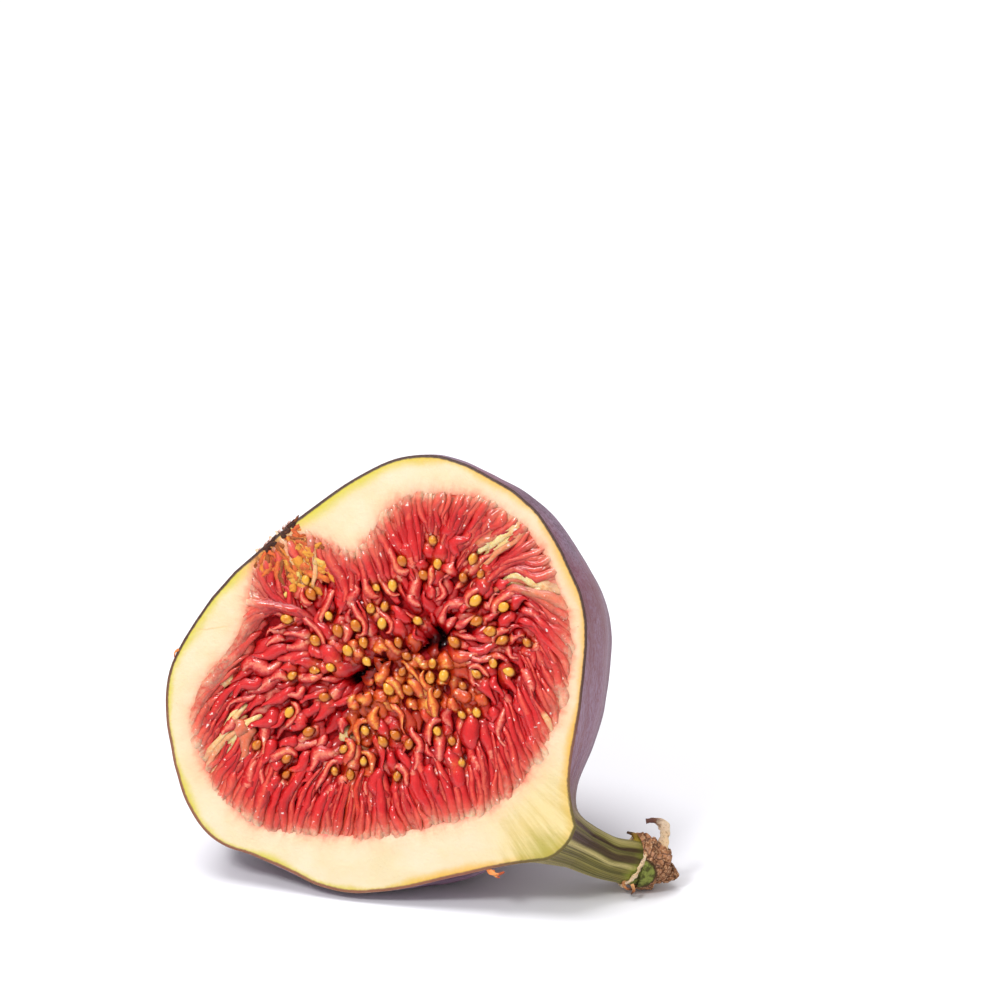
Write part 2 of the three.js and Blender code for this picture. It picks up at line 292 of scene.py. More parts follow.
def finish_piece(name, bm, finishes, stands_for=()):
    """Lays a mesh down in its place, hangs it on the root body and hides the solids that it stands for."""
    bmesh.ops.transform(bm, matrix=PLACE, verts=bm.verts[:])
    mesh = bpy.data.meshes.new(name)
    bm.to_mesh(mesh)
    bm.free()
    mesh.shade_smooth()
    for finish in finishes:
        mesh.materials.append(finish.material)
    piece = bpy.data.objects.new(name, mesh)
    bpy.context.collection.objects.link(piece)
    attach(piece, "root")
    if stands_for:
        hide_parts(*stands_for)
    print(name, len(mesh.polygons), "faces")
    return piece


def smoothstep(low, high, value):
    share = min(max((value - low) / (high - low), 0.0), 1.0)
    return share * share * (3 - 2 * share)


# %% [markdown]
# ## The shape of the fruit
# The fruit is round about an axis that runs from the neck to the eye, a few millimetres behind the cut.
# The knife went past in front of the stalk, so the stalk stays whole. A table gives how far the fruit
# reaches on each side of the axis, and a smooth line is drawn through it. The same table stands in the
# part's source.

# %% Driving sizes of the fruit
NECK = Vector((24.0, -16.8, 0))
EYE = Vector((-16.0, 14.1, 0))
BACK_FLATTENING = 0.86
BACK_FULLNESS = 2.3
RIB_COUNT = 12
RIB_HEIGHT = 0.22
SAG_LEVEL = 25.6
SAG_BLEND = 0.8
AROUND = 192

# distance from the neck, half width above the axis, half width below it, how far the axis lies behind the cut
PROFILE = [
    (0, 2.3, 3.2, 2.2),
    (2, 3.7, 5.6, 1.0),
    (4, 5.4, 8.3, 2.3),
    (6, 7.7, 11.2, 5.3),
    (8, 11.0, 14.3, 6.4),
    (10, 14.2, 17.5, 6.3),
    (12, 17.0, 20.2, 6.2),
    (14, 19.4, 22.5, 6.0),
    (17, 22.0, 24.4, 5.3),
    (21, 24.0, 25.8, 4.6),
    (26, 25.5, 27.7, 3.7),
    (31, 25.7, 29.4, 2.8),
    (36, 24.7, 28.8, 2.1),
    (40, 23.3, 26.7, 1.8),
    (43, 21.2, 24.6, 1.7),
    (45.5, 18.0, 22.6, 1.6),
    (47.5, 12.8, 20.4, 1.5),
    (48.8, 7.2, 18.2, 1.4),
    (49.6, 3.0, 15.5, 1.35),
    (50.2, -1.5, 12.0, 1.3),
    (50.6, -4.5, 8.6, 1.3),
]
FRUIT_LENGTH = PROFILE[-1][0]

# the stalk from its dried end to the neck: x, y, z and radius
STALK = [
    (35.15, -19.75, -12.1, 0.6),
    (34.6, -20.1, -12.0, 1.15),
    (33.95, -19.95, -11.8, 1.8),
    (33.3, -19.7, -11.6, 2.45),
    (32.15, -19.6, -11.3, 3.0),
    (31.0, -19.45, -10.9, 3.15),
    (30.45, -19.45, -10.65, 3.0),
    (30.05, -19.6, -10.4, 2.6),
    (28.45, -19.3, -9.1, 2.62),
    (26.85, -18.85, -7.6, 2.7),
    (24.95, -17.95, -5.6, 2.9),
]
NODE = 7.1  # the dried end begins this far down the stalk's table
NODE_LEAN = 1.5  # mm by which the upper side of the node's ring lies nearer to the end
AXIS = (EYE - NECK).normalized()
ACROSS = Vector((AXIS.y, -AXIS.x, 0))
print("fruit", FRUIT_LENGTH, "mm long, axis", [round(c, 3) for c in AXIS])


# %% Smooth lines through the tables
def table_value(table, column, where):
    """A smooth line through one column, read at a distance given in the first column."""
    last = len(table) - 1
    i = 0
    while i < last - 1 and where > table[i + 1][0]:
        i += 1

    def slope(k):
        before, after = table[max(k - 1, 0)], table[min(k + 1, last)]
        return (after[column] - before[column]) / (after[0] - before[0])

    span = table[i + 1][0] - table[i][0]
    t = (where - table[i][0]) / span
    start, end = table[i][column], table[i + 1][column]
    return (
        start * (1 + 2 * t) * (1 - t) ** 2
        + end * t * t * (3 - 2 * t)
        + slope(i) * span * t * (1 - t) ** 2
        - slope(i + 1) * span * t * t * (1 - t)
    )


STALK_BY_NUMBER = [(k, *row) for k, row in enumerate(STALK)]


def stalk_centre(k):
    return Vector(table_value(STALK_BY_NUMBER, column, k) for column in (1, 2, 3))


def stalk_place(k, away, line):
    """A spot on the stalk, to one side of its middle. The node's ring leans, with its neighbours."""
    near = 1 - smoothstep(0, 2.9 if k > NODE else 3.8, abs(k - NODE))
    lean = max(away.dot(UPWARDS), 0) * near
    radius = table_value(STALK_BY_NUMBER, 4, k)
    return stalk_centre(k) + away * (radius + 0.25 * lean) - line * NODE_LEAN * lean


def settle(point, softness):
    """Presses a point up where the surface carries the soft fruit."""
    height = point.dot(UPWARDS)
    over = (height + SAG_LEVEL) / SAG_BLEND
    settled = -SAG_LEVEL + SAG_BLEND * (over if over > 30 else math.log1p(math.exp(over)))
    lifted = height + (settled - height) * softness
    return point + UPWARDS * (max(lifted, -FLOOR_DROP) - height)


# %% [markdown]
# ### Small unevenness
# No fruit is as smooth as a table of numbers. Low ribs run from the stalk to the eye, and shallow dents
# lie between them. Both are real shape, because they show on the outline, so they are put into the mesh.


# %% Rings of the fruit and the stalk
def fullness(angle):
    total = abs(math.cos(angle)) ** BACK_FULLNESS + abs(math.sin(angle)) ** BACK_FULLNESS
    return total ** (-1 / BACK_FULLNESS)


def fruit_ring(s):
    upper, lower, behind = (table_value(PROFILE, column, s) for column in (1, 2, 3))
    half_width = (upper + lower) / 2
    radius = math.hypot(half_width, behind)
    centre = Vector((NECK.x, NECK.y, -behind)) + AXIS * s + ACROSS * (upper - lower) / 2
    ribs = RIB_HEIGHT * smoothstep(1, 9, s) * (1 - smoothstep(38, 50, s))
    softness = smoothstep(2, 10, s)
    ring = []
    for j in range(AROUND):
        angle = 2 * math.pi * j / AROUND
        hidden = math.sin(angle) > 0
        reach = (radius + ribs * math.cos(RIB_COUNT * angle)) * (fullness(angle) if hidden else 1)
        depth = math.sin(angle) * (BACK_FLATTENING if hidden else 1)
        point = centre + ACROSS * reach * math.cos(angle)
        point.z -= reach * depth
        dent = noise.noise(point * 0.11) * 0.28 + noise.noise(point * 0.4) * 0.09
        away = (point - centre).normalized()
        ring.append(settle(point + away * dent * smoothstep(0.5, 6, s), softness))
    return ring


def stalk_ring(k):
    line = (stalk_centre(min(k + 0.5, len(STALK) - 1)) - stalk_centre(max(k - 0.5, 0))).normalized()
    line = line.lerp(AXIS, smoothstep(len(STALK) - 4, len(STALK) + 1, k)).normalized()
    side = (ACROSS - line * ACROSS.dot(line)).normalized()
    back = line.cross(side)
    radius = table_value(STALK_BY_NUMBER, 4, k)
    ring = []
    for j in range(AROUND):
        angle = 2 * math.pi * j / AROUND
        uneven = 0.035 * math.cos(6 * angle) + 0.03 * noise.noise(Vector((angle * 3, k * 0.35, 4.0)))
        groove = line_shares(angle)[0] * smoothstep(NODE + 0.3, NODE + 1, k) * GROOVE_DEPTH
        away = side * math.cos(angle) + back * math.sin(angle)
        ring.append(stalk_place(k, away, line) + away * radius * (uneven - groove))
    return ring


GROOVE_DEPTH = 0.1  # of the radius, where a dark line is at its strongest
STALK_LINES = [  # angle, half width in degrees and strength of the stalk's dark lines and of its pale ones
    [(-27, 8, 0.9), (-56, 13, 1.0), (-41, 12, 0.45), (-118, 9, 0.35)],
    [(-77, 6, 0.9), (-4, 9, 0.5), (-160, 12, 0.6)],
]


def line_shares(angle):
    """How strongly the dark and the pale lines along the stalk show at an angle round it."""
    degrees = math.degrees(angle)
    shares = []
    for lines in STALK_LINES:
        off = [((degrees - middle + 180) % 360 - 180, half, strength) for middle, half, strength in lines]
        shares.append(max(strength * math.exp(-((away / half) ** 2)) for away, half, strength in off))
    return shares


# %% [markdown]
# ## The skin and the wall
# The skin is one tube from the stalk's node to the eye. The knife is a bisect, which also clears what
# lies in front of the cut. The open rim that it leaves is extruded inwards across the face to the pulp's
# edge, and on down into the bowl that the pulp fills, so skin, wall and bowl are one closed shell, as
# they grew.

# %% The pulp's edge
PULP_EDGE = [
    (-13.2, 14.6),
    (-11.2, 15.5),
    (-8.0, 15.0),
    (-4.7, 13.8),
    (-2.6, 15.8),
    (-0.7, 19.3),
    (2.4, 21.4),
    (6.4, 22.0),
    (11.0, 21.6),
    (15.3, 19.5),
    (18.4, 16.2),
    (20.9, 11.8),
    (22.5, 6.8),
    (22.6, 2.0),
    (21.6, -3.0),
    (19.2, -9.0),
    (15.6, -13.3),
    (10.8, -15.7),
    (4.4, -17.9),
    (-1.8, -19.0),
    (-8.2, -19.3),
    (-13.6, -18.7),
    (-17.9, -15.9),
    (-21.0, -11.4),
    (-22.3, -7.0),
    (-21.2, -3.0),
    (-18.6, 0.8),
    (-17.0, 4.4),
    (-16.4, 7.8),
    (-16.2, 11.2),
]
CREASE = (Vector((-2.9, -0.3, 0)), Vector((6.7, 5.2, 0)))  # the empty middle, between these two points
PULP_MIDDLE = (CREASE[0] + CREASE[1]) / 2


def closed_curve(points, steps):
    """A smooth closed line through the points, with even steps along its length."""
    count = len(points)
    fine = []
    for i in range(count):
        a, b, c, d = (np.array(points[(i + k) % count], float) for k in (-1, 0, 1, 2))
        for t in np.linspace(0, 1, 20, endpoint=False):
            line = (c - a) * t + (2 * a - 5 * b + 4 * c - d) * t * t + (3 * b - a - 3 * c + d) * t**3
            fine.append(b + line / 2)
    fine = np.array(fine + [fine[0]])
    along = np.concatenate([[0], np.cumsum(np.linalg.norm(np.diff(fine, axis=0), axis=1))])
    wanted = np.linspace(0, along[-1], steps, endpoint=False)
    places = np.stack([np.interp(wanted, along, fine[:, 0]), np.interp(wanted, along, fine[:, 1])], axis=1)
    return places, along[-1]


edge_line, edge_length = closed_curve(PULP_EDGE, 1200)
edge_angle = np.arctan2(edge_line[:, 1] - PULP_MIDDLE.y, edge_line[:, 0] - PULP_MIDDLE.x)
edge_reach = np.hypot(edge_line[:, 1] - PULP_MIDDLE.y, edge_line[:, 0] - PULP_MIDDLE.x)
edge_share = np.linspace(0, 1, len(edge_line), endpoint=False)
by_angle = np.argsort(edge_angle)
print("pulp edge", round(edge_length, 1), "mm round")


def pulp_reach(angle):
    """How far the pulp goes from its middle in one direction, and how far along its edge that is."""
    reach = np.interp(angle, edge_angle[by_angle], edge_reach[by_angle], period=2 * math.pi)
    turned = np.exp(2j * math.pi * edge_share[by_angle])
    real = np.interp(angle, edge_angle[by_angle], turned.real, period=2 * math.pi)
    imaginary = np.interp(angle, edge_angle[by_angle], turned.imag, period=2 * math.pi)
    return float(reach), math.atan2(imaginary, real)


def edge_distance(point):
    """Millimetres to the pulp's edge."""
    return float(np.min(np.hypot(edge_line[:, 0] - point.x, edge_line[:, 1] - point.y)))


# %% Skin, cut and wall
STALK_STEPS = 19
FRUIT_STEPS = 120
# the skin's tube starts at the node
STALK_RINGS = [NODE + (len(STALK) - 1 - NODE) * k / STALK_STEPS for k in range(STALK_STEPS + 1)]
MM_PER_ROW = 2.1  # of the stalk's table
FRUIT_RINGS = [FRUIT_LENGTH * (k / FRUIT_STEPS) for k in range(FRUIT_STEPS + 1)]
STRETCH = 26.0  # the skin's own pattern is laid out on a drum of this radius, in millimetres
FACE_SHARES = [0.006, 0.02, 0.05, 0.09, 0.14, 0.2, 0.27, 0.35, 0.44]
FACE_SHARES += [0.53, 0.62, 0.7, 0.78, 0.85, 0.91, 0.96, 1.0]
BOWL_DEPTH = 22.5
BOWL_SHARES = [0.99, 0.95, 0.86, 0.75, 0.62, 0.48, 0.32, 0.16]
BED_DROP = 1.2
PULP_GAP = 0.3


def bowl_place(angle, share, margin):
    reach, _ = pulp_reach(angle)
    depth = max((BOWL_DEPTH + margin) * math.sqrt(1 - share**2.4), BED_DROP)
    flat = Vector((math.cos(angle), math.sin(angle), 0)) * (reach + margin) * share
    return PULP_MIDDLE + flat - Vector((0, 0, depth))


def skin_and_wall():
    bm = bmesh.new()
    bm.verts.layers.int.new("number")
    drum = bm.verts.layers.float_vector.new("drum")
    rows = [(k - (len(STALK) - 1)) * MM_PER_ROW - 0.5 for k in STALK_RINGS] + FRUIT_RINGS
    rings = [stalk_ring(k) for k in STALK_RINGS] + [fruit_ring(s) for s in FRUIT_RINGS]
    ring = start_ring(bm, rings[0])
    first = ring
    number = bm.verts.layers.int["number"]
    for row, places in zip(rows, rings):
        if row != rows[0]:
            ring = extrude_ring(bm, ring, places)
        for vertex in ring:
            angle = 2 * math.pi * vertex[number] / AROUND
            vertex[drum] = (STRETCH * math.cos(angle), STRETCH * math.sin(angle), row)
    close_ring(bm, first)
    close_ring(bm, ring)
    everything = bm.verts[:] + bm.edges[:] + bm.faces[:]
    bmesh.ops.bisect_plane(bm, geom=everything, plane_co=(0, 0, 0), plane_no=(0, 0, 1), clear_outer=True)
    return bm


def cut_face(bm):
    """Extrudes the open rim across the face and down into the bowl."""
    number = bm.verts.layers.int["number"]
    rim_layer = bm.verts.layers.float.new("rim")
    pulp_layer = bm.verts.layers.float.new("pulp")
    streak = bm.verts.layers.float_vector.new("streak")
    rim_edges = [edge for edge in bm.edges if edge.is_boundary]
    rim = list({vertex for edge in rim_edges for vertex in edge.verts})
    rim.sort(key=lambda v: math.atan2(v.co.y - PULP_MIDDLE.y, v.co.x - PULP_MIDDLE.x))
    side_shade_span = [vertex.co.copy() for vertex in rim]
    outline_flat = np.array([(p.x, p.y) for p in side_shade_span])
    for k, vertex in enumerate(rim):
        vertex[number] = k
    for edge in rim_edges:
        edge.smooth = False
    angles = [math.atan2(p.y - PULP_MIDDLE.y, p.x - PULP_MIDDLE.x) for p in side_shade_span]
    reaches = [pulp_reach(angle) for angle in angles]
    inner = [
        PULP_MIDDLE + Vector((math.cos(a), math.sin(a), 0)) * reach for a, (reach, _) in zip(angles, reaches)
    ]
    skin_faces = set(bm.faces)
    ring = rim
    turns = [turn for _, turn in reaches]
    for share in [0.0] + FACE_SHARES:
        places = [a.lerp(b, share) for a, b in zip(side_shade_span, inner)]
        if share > 0:
            ring = extrude_ring(bm, ring, places)
        for vertex, turn in zip(ring, turns):
            flat = outline_flat - (vertex.co.x, vertex.co.y)
            to_rim = float(np.min(np.hypot(flat[:, 0], flat[:, 1]))) if share else 0.0
            to_pulp = edge_distance(vertex.co) if share < 1 else 0.0
            vertex[rim_layer] = to_rim
            vertex[pulp_layer] = to_pulp
            vertex[streak] = (math.cos(turn) * STRETCH, math.sin(turn) * STRETCH, to_pulp)
            if share > 0:
                vertex.co.z = (
                    -0.08 * math.exp(-to_rim / 0.4)
                    - 0.3 * math.exp(-to_pulp / 0.5)
                    + 0.05 * noise.noise(vertex.co * 0.5)
                )
    for share in BOWL_SHARES:
        ring = extrude_ring(bm, ring, [bowl_place(angle, share, PULP_GAP) for angle in angles])
    close_ring(bm, ring)
    for face in bm.faces:
        face.material_index = 0 if face in skin_faces else 1
    bmesh.ops.recalc_face_normals(bm, faces=bm.faces[:])
    print("rim of", len(rim), "points")


# %% [markdown]
# ## Finish of the skin
# Ripe fig skin is plum with redder and bluer patches, drawn out lengthwise, under a dusty bloom that
# dulls it. Small pale pores are scattered over it, and fine wrinkles run from the stalk to the eye.
# Towards the neck it turns green, and the stalk itself is olive, with dark and pale lines along it. The
# pattern reads the drum attribute, which runs round and along the fruit, so streaks follow its growth.


# %% Skin finish
def skin_finish():
    f = Finish("fig_skin")
    drum = f.attribute("drum", "Vector")
    _, _, along = f.parts(drum)
    patches = f.noise(f.stretched(drum, 1, 1, 0.45), 0.055, 4, 0.6)
    streaks = f.noise(f.stretched(drum, 1, 1, 0.12), 0.35, 4, 0.62)
    plum = f.mix(f.step(0.35, 0.65, streaks), paint(66, 30, 54), paint(98, 54, 84))
    plum = f.mix(f.step(0.42, 0.6, patches), plum, paint(124, 56, 66))
    bloom_cloud = f.noise(f.stretched(drum, 1, 1, 0.6), 0.12, 5, 0.65)
    dust = f.noise(drum, 2.2, 5, 0.8)
    bloom = f.step(0.3, 0.66, bloom_cloud) * (0.25 + 0.75 * f.step(0.38, 0.62, dust))
    skin = f.mix(bloom * 0.85, plum, paint(170, 146, 168))
    pores = f.node("ShaderNodeTexVoronoi", {"feature": "F1"}, Vector=drum, Scale=0.36, Randomness=1.0)
    picked, _, _ = f.parts(pores.out("Color"))
    pore = (1 - f.step(0.05, 0.1, pores)) * f.step(0.35, 0.4, picked)
    skin = f.mix(pore * 0.8, skin, paint(222, 190, 186))
    fibres = f.noise(f.stretched(drum, 1, 1, 0.1), 0.75, 3, 0.6)
    green = f.mix(f.step(0.36, 0.64, fibres), paint(92, 86, 38), paint(158, 146, 76))
    green = f.mix(f.attribute("pale line") * f.step(0.3, 0.5, fibres), green, paint(222, 204, 134))
    dark_line = f.step(0.25, 0.8, f.attribute("dark line") + (fibres - 0.5) * 0.5)
    green = f.mix(dark_line * 0.92, green, paint(70, 48, 28))
    node_ring = 1 - f.step(-6.9, -4.9, along + (fibres - 0.5) * 2)
    green = f.mix(node_ring * (0.9 - 0.6 * f.attribute("dark line")), green, paint(172, 186, 62))
    to_green = f.step(-2.0, 5.5, along + (streaks - 0.5) * 4)
    f.set(Base_Color=f.mix(to_green, green, skin))
    f.set(Roughness=0.42 + 0.25 * bloom, Specular_IOR_Level=0.32)
    wrinkles = f.noise(f.stretched(drum, 1, 1, 0.16), 0.6, 5, 0.6, 0.6)
    grain = f.noise(drum, 5.0, 2, 0.5)
    f.bump(wrinkles * 0.8 + grain * 0.12 + pore * 0.12, 0.45)
    return f


# %% [markdown]
# ## Finish of the cut wall
# From the outside in: a hair of dark skin, a lemon band under it, then cream pith, and at the pulp a pink
# blush that breaks up into fine streaks square to the wall. Two attributes measure the distance to the
# rim and to the pulp, and a third lays the streaks out along the pulp's edge.


# %% Wall finish
NECK_ON_FACE = (23.5, -17.0, 0)
NECK_TIP_ON_FACE = (23.0, -20.5, 0)
EYE_ON_FACE = (-15.4, 13.6, 0)
VEIN_LEFT_END = (-21.9, 3.4)  # one thin vein starts here and rises a little to the right
VEIN_RISE = 0.12
BLUSH = [  # from and to these millimetres off the pulp, strength and colour
    (-0.2, 2.6, 0.6, paint(244, 176, 140)),
    (-0.4, 1.1, 0.8, paint(238, 124, 98)),
    (-0.6, 0.3, 0.7, paint(226, 74, 62)),
]


def wall_finish():
    f = Finish("fig_wall")
    rim = f.attribute("rim")
    pulp = f.attribute("pulp")
    streak = f.attribute("streak", "Vector")
    face = f.face_place()
    x, y, _ = f.parts(face)
    cloud = f.noise(face, 0.18, 3, 0.5)
    fine = f.noise(face, 1.6, 4, 0.65)
    lines = f.noise(f.stretched(streak, 1, 1, 0.22), 0.9, 3, 0.6)
    cream = f.mix(f.step(0.3, 0.7, cloud), paint(228, 212, 180), paint(222, 204, 162))
    right = f.step(-6, 14, x)
    band = f.mix(right, paint(206, 192, 62), paint(226, 176, 72))
    near_eye = f.step(0, 14, y) * (1 - f.step(-6, 6, x))
    band_width = 0.7 + 1.4 * f.step(0.3, 0.75, f.noise(face, 0.11, 2, 0.5)) + 1.1 * near_eye
    wall = f.mix(f.step(0.1, 1.0, (rim + (fine - 0.5) * 0.5) / band_width), band, cream)
    from_neck = f.vector_math("DISTANCE", face, NECK_ON_FACE, "Value")
    neck = 1 - f.step(3.0, 11.0, from_neck + (fine - 0.5) * 3)
    neck_fibres = f.noise(f.stretched(streak, 1, 1, 0.1), 1.2, 3, 0.6)
    neck_look = f.mix(f.step(0.35, 0.65, neck_fibres), paint(208, 180, 92), paint(226, 204, 136))
    wall = f.mix(neck * 0.75, wall, neck_look)
    from_tip = f.vector_math("DISTANCE", face, NECK_TIP_ON_FACE, "Value")
    tip = 1 - f.step(1.5, 6.5, from_tip + (neck_fibres - 0.5) * 6)
    wall = f.mix(tip * 0.8, wall, paint(166, 156, 58))
    blush_reach = pulp - (lines - 0.5) * 1.5 - (fine - 0.5) * 1.1 - (cloud - 0.5) * 2.6
    for start, end, strength, blush in BLUSH:
        wall = f.mix((1 - f.step(start, end, blush_reach)) * strength, wall, blush)
    from_eye = f.vector_math("DISTANCE", face, EYE_ON_FACE, "Value")
    eye = 1 - f.step(1.2, 3.2, from_eye + (fine - 0.5) * 2.4)
    eye_fibres = f.noise(face, 1.5, 4, 0.7, 0.8)
    eye_look = f.mix(f.step(0.38, 0.62, eye_fibres), paint(150, 74, 30), paint(228, 150, 58))
    wall = f.mix(eye * 0.9, wall, eye_look)
    specks = f.node("ShaderNodeTexVoronoi", {"feature": "F1"}, Vector=face, Scale=0.42, Randomness=1.0)
    speck = (1 - f.step(0.03, 0.06, specks)) * f.step(0.55, 0.6, f.noise(face, 0.3, 1, 0.5))
    wall = f.mix(speck * 0.5, wall, paint(168, 140, 96))
    rise = (x - VEIN_LEFT_END[0]) * VEIN_RISE
    vein = f.math("ABSOLUTE", y - VEIN_LEFT_END[1] - rise - (cloud - 0.5) * 2.0)
    vein = (1 - f.step(0.03, 0.16, vein)) * (1 - f.step(-20.5, -18.0, x))
    wall = f.mix(vein * 0.5, wall, paint(214, 180, 120))
    skin_line = 1 - f.step(0.24, 0.46, rim + (fine - 0.5) * 0.2)
    skin_edge = f.mix(f.step(-12, 4, y), paint(136, 88, 66), paint(70, 42, 34))
    wall = f.mix(skin_line, wall, f.mix(neck, skin_edge, paint(98, 84, 34)))
    f.set(Base_Color=wall, Roughness=0.38 + 0.2 * fine)
    f.set(Subsurface_Weight=0.25, Subsurface_Radius=(1.0, 0.7, 0.4), Subsurface_Scale=1.2 * MM)
    f.bump(f.noise(face, 2.4, 4, 0.6) * 0.6 + lines * 0.4, 0.12)
    return f


# %% Make the skin and wall
def mark_lines(bm):
    drum = bm.verts.layers.float_vector["drum"]
    dark_line = bm.verts.layers.float.new("dark line")
    pale_line = bm.verts.layers.float.new("pale line")
    for vertex in bm.verts:
        x, y, along = vertex[drum]
        if x or y:
            ends = smoothstep(-7.2, -6.0, along) * (1 - smoothstep(-0.5, 2.5, along))
            wander = 0.1 * noise.noise(Vector((along * 0.5, 3.0, 1.0)))
            dark, pale = line_shares(math.atan2(y, x) + wander)
            vertex[dark_line] = dark * ends
            vertex[pale_line] = pale * ends


wall_mesh = skin_and_wall()
mark_lines(wall_mesh)
cut_face(wall_mesh)
finish_piece("fig_skin_and_wall", wall_mesh, [skin_finish(), wall_finish()], ["receptacle"])

# %% [markdown]
# ## The stalk's dried end
# Where the fruit hung on its twig, the stalk ends in a crust of dried bark, with a green scar on one
# side. It is the same kind of tube as the stalk. Noise roughens it strongly enough to show on the
# outline, and a cell pattern splits it into small scales. The peeling collar at its start is a flat ring
# section that is spun once round the stalk's own line, and then made ragged.

# %% Dried end of the stalk
CAP_AROUND = 160
CAP_RINGS = 56
SCAR = Vector((31.75, -20.75, -8.3))
SCAR_RADIUS = 1.95


def scar_share(point):
    """1 on the smooth green scar, 0 on the crust."""
    return 1 - smoothstep(0.85, 1.1, (point - SCAR).length / SCAR_RADIUS)


def crust(point, away):
    lump = noise.noise(point * 0.7) * 0.5 + noise.noise(point * 1.8) * 0.2 + noise.noise(point * 6.0) * 0.05
    near, second = noise.voronoi(point * 0.85)[0][:2]
    scales = 0.3 * smoothstep(0, 0.25, second - near)
    outwards = stalk_centre(NODE - 2) - stalk_centre(NODE)
    from_node = smoothstep(0.2, 1.6, (point - stalk_centre(NODE)).dot(outwards) / 1.5)
    return point + away * ((lump + scales) * (1 - 0.85 * scar_share(point)) - 0.25) * from_node


def cap_ring(k):
    line = (stalk_centre(min(k + 0.5, len(STALK) - 1)) - stalk_centre(max(k - 0.5, 0))).normalized()
    side = (ACROSS - line * ACROSS.dot(line)).normalized()
    back = line.cross(side)
    ring = []
    for j in range(CAP_AROUND):
        angle = 2 * math.pi * j / CAP_AROUND
        away = side * math.cos(angle) + back * math.sin(angle)
        place = crust(stalk_place(k, away, line), away)
        height = place.dot(UPWARDS)
        ring.append(place + UPWARDS * (max(height, -FLOOR_DROP) - height))
    return ring


def crust_finish():
    f = Finish("fig_stalk_crust")
    face = f.face_place()
    rough = f.noise(face, 0.9, 5, 0.7)
    fine = f.noise(face, 3.6, 4, 0.7)
    cells = f.node("ShaderNodeTexVoronoi", {"feature": "DISTANCE_TO_EDGE"}, Vector=face, Scale=0.85)
    brown = f.mix(f.step(0.38, 0.62, rough), paint(128, 80, 48), paint(196, 136, 94))
    brown = f.mix(f.step(0.5, 0.62, fine) * 0.9, brown, paint(228, 186, 142))
    brown = f.mix(f.step(0.56, 0.68, rough + (fine - 0.5) * 0.5) * 0.6, brown, paint(142, 100, 96))
    brown = f.mix((1 - f.step(0.0, 0.12, cells + (fine - 0.5) * 0.1)) * 0.8, brown, paint(70, 42, 26))
    off = f.vector_math("DISTANCE", face, SCAR[:], "Value") / SCAR_RADIUS + (rough - 0.5) * 0.35
    scar_green = f.mix(f.step(0.4, 0.6, f.noise(face, 1.3, 5, 0.65)), paint(78, 78, 28), paint(136, 144, 66))
    scar_green = f.mix(f.step(0.58, 0.7, fine) * 0.5, scar_green, paint(66, 58, 28))
    brown = f.mix(1 - f.step(1.02, 1.2, off), brown, paint(74, 50, 26))
    brown = f.mix(1 - f.step(0.84, 1.02, off), brown, scar_green)
    f.set(Base_Color=brown, Roughness=0.68 + 0.2 * fine, Specular_IOR_Level=0.3)
    f.bump(rough * 0.4 + fine * 0.6, 0.3)
    return f


cap = bmesh.new()
loft(cap, [cap_ring((NODE + 0.2) * k / (CAP_RINGS - 1)) for k in range(CAP_RINGS)])
bmesh.ops.recalc_face_normals(cap, faces=cap.faces[:])
finish_piece("fig_stalk_end", cap, [crust_finish()])


# %% Peeling collar at the node
COLLAR_STEPS = 150
COLLAR_DIP = math.radians(-128)  # here, low on the front, the collar has slipped towards the fruit
COLLAR_HALF = (0.16, 0.24)  # its section, outwards and along the stalk
COLLAR_OFF = 0.2  # the middle of its section lies this far off the stalk


def collar():
    bm = bmesh.new()
    centre = stalk_centre(NODE)
    line = (stalk_centre(NODE + 0.4) - stalk_centre(NODE - 0.4)).normalized()
    side = (ACROSS - line * ACROSS.dot(line)).normalized()
    back = line.cross(side)
    radius = table_value(STALK_BY_NUMBER, 4, NODE) + COLLAR_OFF
    half_out, half_along = COLLAR_HALF
    for vertex in bmesh.ops.create_circle(bm, cap_ends=False, radius=1, segments=8)["verts"]:
        outwards = side * (radius + vertex.co.x * half_out)
        vertex.co = centre + outwards + line * (vertex.co.y * half_along + 0.35)
    bmesh.ops.spin(
        bm,
        geom=bm.verts[:] + bm.edges[:],
        cent=centre,
        axis=line,
        angle=2 * math.pi,
        steps=COLLAR_STEPS,
        use_merge=True,
    )
    for vertex in bm.verts:
        off = vertex.co - centre
        angle = math.atan2(off.dot(back), off.dot(side))
        dip = math.exp(-(((angle - COLLAR_DIP) / 0.45) ** 2))
        peel = noise.noise(vertex.co * 0.9) * 0.14 + noise.noise(vertex.co * 3.0) * 0.12
        slip = noise.noise(vertex.co * 0.7 + Vector((9, 0, 0))) * 0.4 + noise.noise(vertex.co * 2.6) * 0.25
        away = off.normalized()
        lean = max(away.dot(UPWARDS), 0)
        vertex.co += away * (peel + 0.1 * dip + 0.5 * lean) + line * (slip + 0.6 * dip - 1.35 * lean)
    bmesh.ops.recalc_face_normals(bm, faces=bm.faces[:])
    return bm


def dry_finish(name, fresh, dry, tip):
    """Dead tissue: fresh colour at its foot, dry further on and dark at the tip."""
    f = Finish(name)
    face = f.face_place()
    along = f.attribute("along")
    fine = f.noise(face, 3.2, 5, 0.7)
    wide = f.noise(face, 1.0, 3, 0.6)
    look = f.mix(f.step(0.2, 0.6, along + (wide - 0.5) * 0.8), fresh, dry)
    look = f.mix(f.step(0.6, 0.8, along + (fine - 0.5) * 0.3), look, tip)
    look = f.mix(f.step(0.5, 0.68, fine) * 0.65, look, paint(128, 84, 52))
    f.set(Base_Color=look, Roughness=0.55 + 0.25 * fine, Specular_IOR_Level=0.3)
    f.set(Subsurface_Weight=0.2, Subsurface_Radius=(1.0, 0.7, 0.4), Subsurface_Scale=0.4 * MM)
    f.bump(fine * 0.6 + wide * 0.4, 0.15)
    return f


